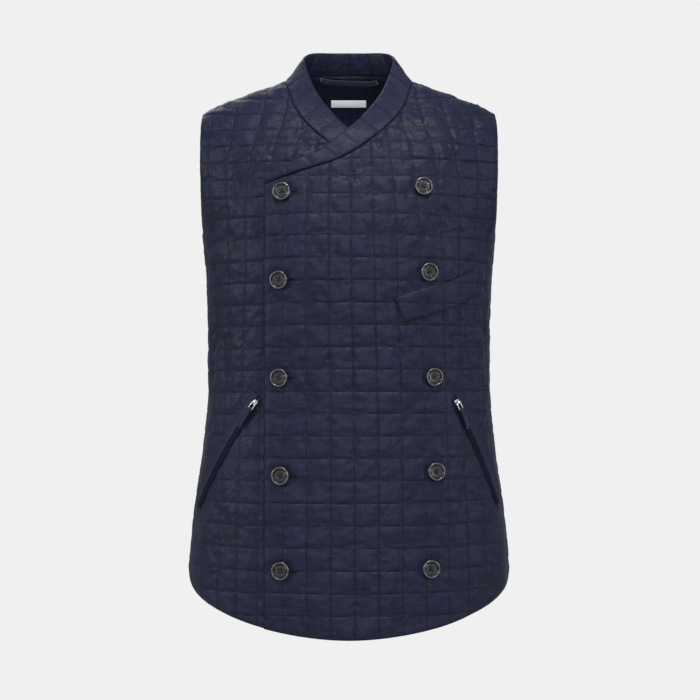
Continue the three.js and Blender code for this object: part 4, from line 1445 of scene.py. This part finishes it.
def button_axes(x, z):
    """Where a button is seated on the upper front, and the turn that sets it square."""
    panel = PANELS["left"]
    flat = panel.flatten_x(x, z)[None, :]
    seat = panel.place(flat, np.array([BUTTON_SEAT]))[0]
    above = panel.place(flat, np.array([BUTTON_SEAT + 1]))[0]
    out = above - seat
    turn = Vector((0, 0, 1)).rotation_difference(Vector(out)).to_matrix()
    return seat, np.array(turn)


# From the middle of its top, over the rim, to the middle of its foot: share of the
# radius, and height.
BUTTON_PROFILE = [
    (0, 2.5), (0.3, 2.5), (0.52, 2.62), (0.6, 2.7), (0.655, 2.0), (0.73, 1.9), (0.79, 3.1),
    (0.85, 4.1), (0.92, 4.15), (0.975, 3.7), (1, 2.7), (0.995, 1.7), (0.9, 0.6), (0.78, 0.05), (0, 0),
]
DISH_RADIUS = 4.2
HOLE_RING = 2.5
HOLE_RADIUS = 1.0
HOLE_DEPTH = 1.9


def button_mesh():
    """A turned disc with a rim, a ring groove and a dished middle; four holes are sunk
    in the middle as steep round wells."""
    profile = np.array(BUTTON_PROFILE) * (BUTTON_RADIUS, 1)
    smooth_profile = spline(profile, 4, even=False)
    dish = np.array([(radius, profile[0, 1]) for radius in np.linspace(0.12, DISH_RADIUS, 18)])
    start = np.argmax(smooth_profile[:, 0] > DISH_RADIUS + 0.1)
    rings = np.vstack((dish, smooth_profile[start:-1]))
    sides = 64
    turn = np.arange(sides) * 2 * np.pi / sides
    x = rings[:, :1] * np.cos(turn)
    y = rings[:, :1] * np.sin(turn)
    z = np.repeat(rings[:, 1:], sides, axis=1)
    top = (np.arange(len(rings)) < len(dish) + 4)[:, None]
    for k in range(4):
        middle = (k + 0.5) * np.pi / 2
        away = np.hypot(x - HOLE_RING * np.cos(middle), y - HOLE_RING * np.sin(middle))
        well = 1 - smooth(HOLE_RADIUS - 0.18, HOLE_RADIUS + 0.22, away)
        z = z - np.where(top, HOLE_DEPTH * well, 0)
    points = np.stack((x, y, z), axis=-1).reshape(-1, 3)
    faces = tube_faces(len(rings), sides)
    caps = [list(range(sides)), list(range((len(rings) - 1) * sides, len(rings) * sides))[::-1]]
    return points, outward(points, faces + caps)


THREAD_LANES = (-0.42, 0, 0.42)
THREAD_RADIUS = 0.23
THREAD_STEPS = 12


def thread_mesh():
    """Crossed strands over the button's middle: each an arch from hole to hole."""
    points, faces = [], []
    for cross in (np.pi / 4, 3 * np.pi / 4):
        for lane in THREAD_LANES:
            reach = HOLE_RING + 0.15
            t = np.linspace(-1, 1, THREAD_STEPS + 1)
            arch = 2.75 + 0.55 * (1 - t**4) - 1.6 * t**8
            route = np.stack((reach * t, np.full(len(t), lane), arch), axis=1)
            turned = route.copy()
            turned[:, 0] = route[:, 0] * np.cos(cross) - route[:, 1] * np.sin(cross)
            turned[:, 1] = route[:, 0] * np.sin(cross) + route[:, 1] * np.cos(cross)
            if cross > 1:
                turned[:, 2] += 0.34
            ahead = unit(np.gradient(turned, axis=0))
            side = unit(np.cross(ahead, (0, 0, 1.0)))
            up = np.cross(side, ahead)
            round_turn = np.arange(6) * np.pi / 3
            ring = THREAD_RADIUS * np.stack((np.cos(round_turn), np.sin(round_turn)), axis=1)

            def place(s, a, b):
                at = s * THREAD_STEPS
                beside_it = read_at(side, at) * a[:, None] + read_at(up, at) * b[:, None]
                return read_at(turned, at) + beside_it

            made, part = loft(ring, t / 2 + 0.5, place)
            part = outward(made, part)
            start = sum(len(p) for p in points)
            faces += [[corner + start for corner in face] for face in part]
            points.append(made)
    return np.vstack(points), faces


def buttonhole(name, x, z):
    """A buttonhole worked in thread: a narrow loop of close stitches round a dark slit,
    from under the button towards the centre."""
    panel = PANELS["left"]
    start = panel.flatten_x(x - 1, z)
    half_long, half_wide = 9.75, 0.8
    turn = np.linspace(0, 2 * np.pi, 97)[:-1]
    blunt = np.sign(np.cos(turn)) * np.abs(np.cos(turn)) ** 0.35
    route = np.stack((half_long * blunt, half_wide * np.sin(turn)), axis=1)
    route = route + start + (half_long, 0)
    ahead = unit(np.roll(route, -1, axis=0) - np.roll(route, 1, axis=0))
    side = np.stack((-ahead[:, 1], ahead[:, 0]), axis=1)
    sides = 8
    ring = np.arange(sides) * 2 * np.pi / sides
    thick = 0.75 + 0.12 * np.cos(np.arange(len(route)) * np.pi)
    points = []
    base = ground(panel, route) + 0.15
    for angle in ring:
        flat = route + side * (thick * np.cos(angle))[:, None]
        points.append(panel.place(flat, base + thick * np.sin(angle)))
    points = np.stack(points, axis=1).reshape(-1, 3)
    faces = tube_faces(len(route), sides, closed=True)
    made = make_object(name, points, outward(points, faces), black_thread)
    finish_piece(made)


def ground(panel, flat):
    """Height of a panel's padded outer side at flat places well inside it."""
    return padding(panel, flat, np.full(len(flat), 50.0))


# Painted highlight and reflection: the rim's top is lightened in full for the highlight it catches,
# the dish a quarter as much for a painted reflection.
button_points, button_faces = button_mesh()
button_share = np.hypot(button_points[:, 0], button_points[:, 1]) / BUTTON_RADIUS
button_painted_highlight = smooth(3.3, 3.9, button_points[:, 2])
in_dish = smooth(2.35, 2.5, button_points[:, 2]) * (1 - smooth(0.58, 0.64, button_share))
button_painted_highlight += 0.25 * in_dish
thread_points, thread_faces = thread_mesh()
for column, places in BUTTON_PLACES.items():
    for number, (x, z) in enumerate(places, 1):
        seat, turn = button_axes(x, z)
        name = f"button_{column}{number}"
        made = make_object(f"turned_{name}", seat + button_points @ turn.T, button_faces, horn)
        point_values(made, "painted_highlight", button_painted_highlight)
        finish_piece(made, stands_for=[name])
        made = make_object(f"thread_{name}", seat + thread_points @ turn.T, thread_faces, thread)
        finish_piece(made)
        if column == "a":
            buttonhole(f"buttonhole_{number}", x, z)


# Inside the back neck

# The middle of the hanger loop's tape, as x and height; 60 steps along it.
LOOP_PATH = [(-38, 7.5), (-34, 6.4), (-26, 5.4), (0, 4.2), (26, 3.2), (34, 3.4), (38, 4.8)]
LOOP_STEPS = 60


def loop_place():
    """Places on the tape that follows the loop's curve inside the back neck, high above
    the curve's line and out from the body's form."""
    path = spline(LOOP_PATH, LOOP_STEPS)
    ahead = unit(np.gradient(path, axis=0))

    def place(t, high, out):
        at = t * LOOP_STEPS
        centre, along = read_at(path, at), read_at(ahead, at)
        x = centre[:, 0] - along[:, 1] * high
        z = centre[:, 1] + along[:, 0] * high
        walk = np.array([walks[1].walk_to(a, b) for a, b in zip(x, z)])
        return body_point(1, walk, z, out)

    return place


loop_ring = rounded_ring(3.1, -2.5, -1.1, 0.5, 2)
hanger = lofted("tape_hanger_loop", loop_ring, LOOP_STEPS, loop_place(), tape)
finish_piece(hanger, stands_for=["hanger_loop"])


LABEL_LEFT, LABEL_WIDTH = -24, 46.7
LABEL_HEIGHT, LABEL_HALF = -21.9, 4.6


def label_place(t, high, out):
    """Places on the label, which lies level on the back's inner side."""
    x = LABEL_LEFT + LABEL_WIDTH * t
    walk = np.array([walks[1].walk_to(a, LABEL_HEIGHT) for a in x])
    return body_point(1, walk, LABEL_HEIGHT + high, out)


label_ring = rounded_ring(LABEL_HALF, -1.6, -0.9, 0.25, 2)
label = lofted("bare_neck_label", label_ring, 30, label_place, satin)
finish_piece(label, stands_for=["neck_label"])


# Stage, light and camera

FLOOR_RADIUS = 4400
FLOOR_Z = -1450.0


def stage_floor():
    """A pale round floor at the height where a wearer stands."""
    material, tree, shader = start_material(
        "pale studio floor", Roughness=0.9, Specular_IOR_Level=0.1,
    )
    patch = grain(tree, object_place(tree), 900, 2)
    feed(tree, shader, Base_Color=blend_colour(tree, patch, linear("#dddddd"), linear("#e1e1e1")))
    turn = np.arange(96) * 2 * np.pi / 96
    x, y = FLOOR_RADIUS * np.cos(turn), FLOOR_RADIUS * np.sin(turn)
    rim = np.stack((x, y, np.full(len(turn), FLOOR_Z)), axis=1)
    make_object("floor", rim, [list(range(len(turn)))], material)


def area_light(name, place, target, size, power):
    data = bpy.data.lights.new(name, "AREA")
    data.shape = "DISK"
    data.size = size
    data.energy = power
    lamp = bpy.data.objects.new(name, data)
    lamp.location = place
    lamp.rotation_euler = (Vector(target) - Vector(place)).to_track_quat("-Z", "Y").to_euler()
    bpy.context.scene.collection.objects.link(lamp)


AMBIENT = 0.3  # light of the studio's walls, as a share of the backdrop's brightness


def studio():
    """Soft white light: a pale backdrop that is bright to look at and lights the vest
    with a share of that, and five lamps."""
    world = bpy.data.worlds.new("soft studio")
    world.use_nodes = True
    background = world.node_tree.nodes["Background"]
    background.inputs["Color"].default_value = linear("#f0f0f0")
    tree = world.node_tree
    seen = node(tree, "ShaderNodeLightPath").outputs["Is Camera Ray"]
    strength = node(tree, "ShaderNodeMapRange", None, in_0=seen, in_3=AMBIENT, in_4=1.0).outputs[0]
    tree.links.new(strength, background.inputs["Strength"])
    bpy.context.scene.world = world
    bpy.context.scene.view_settings.view_transform = "Standard"
    stage_floor()
    middle = (0, 0, -0.35)
    area_light("key", (0.2, -1.3, 2.2), middle, 0.9, 85)
    area_light("left", (-2.4, -0.9, 0.3), middle, 0.9, 36)
    area_light("right", (2.4, -0.9, 0.1), middle, 0.9, 22)
    area_light("front", (0.3, -3.9, 0.7), (0, 0, -0.1), 0.7, 70)
    area_light("back", (-0.6, 2.4, 1.4), middle, 1.8, 22)


def photo_camera():
    data = bpy.data.cameras.new("photo")
    data.sensor_width = SENSOR
    data.lens = SENSOR * CAMERA_AWAY / FIELD
    camera = bpy.data.objects.new("photo", data)
    camera.location = (CAMERA_SIDE * MM, -CAMERA_AWAY * MM, CAMERA_HEIGHT * MM)
    camera.rotation_euler = (np.pi / 2, 0, 0)
    bpy.context.scene.collection.objects.link(camera)
    bpy.context.scene.camera = camera


photo_camera()
studio()
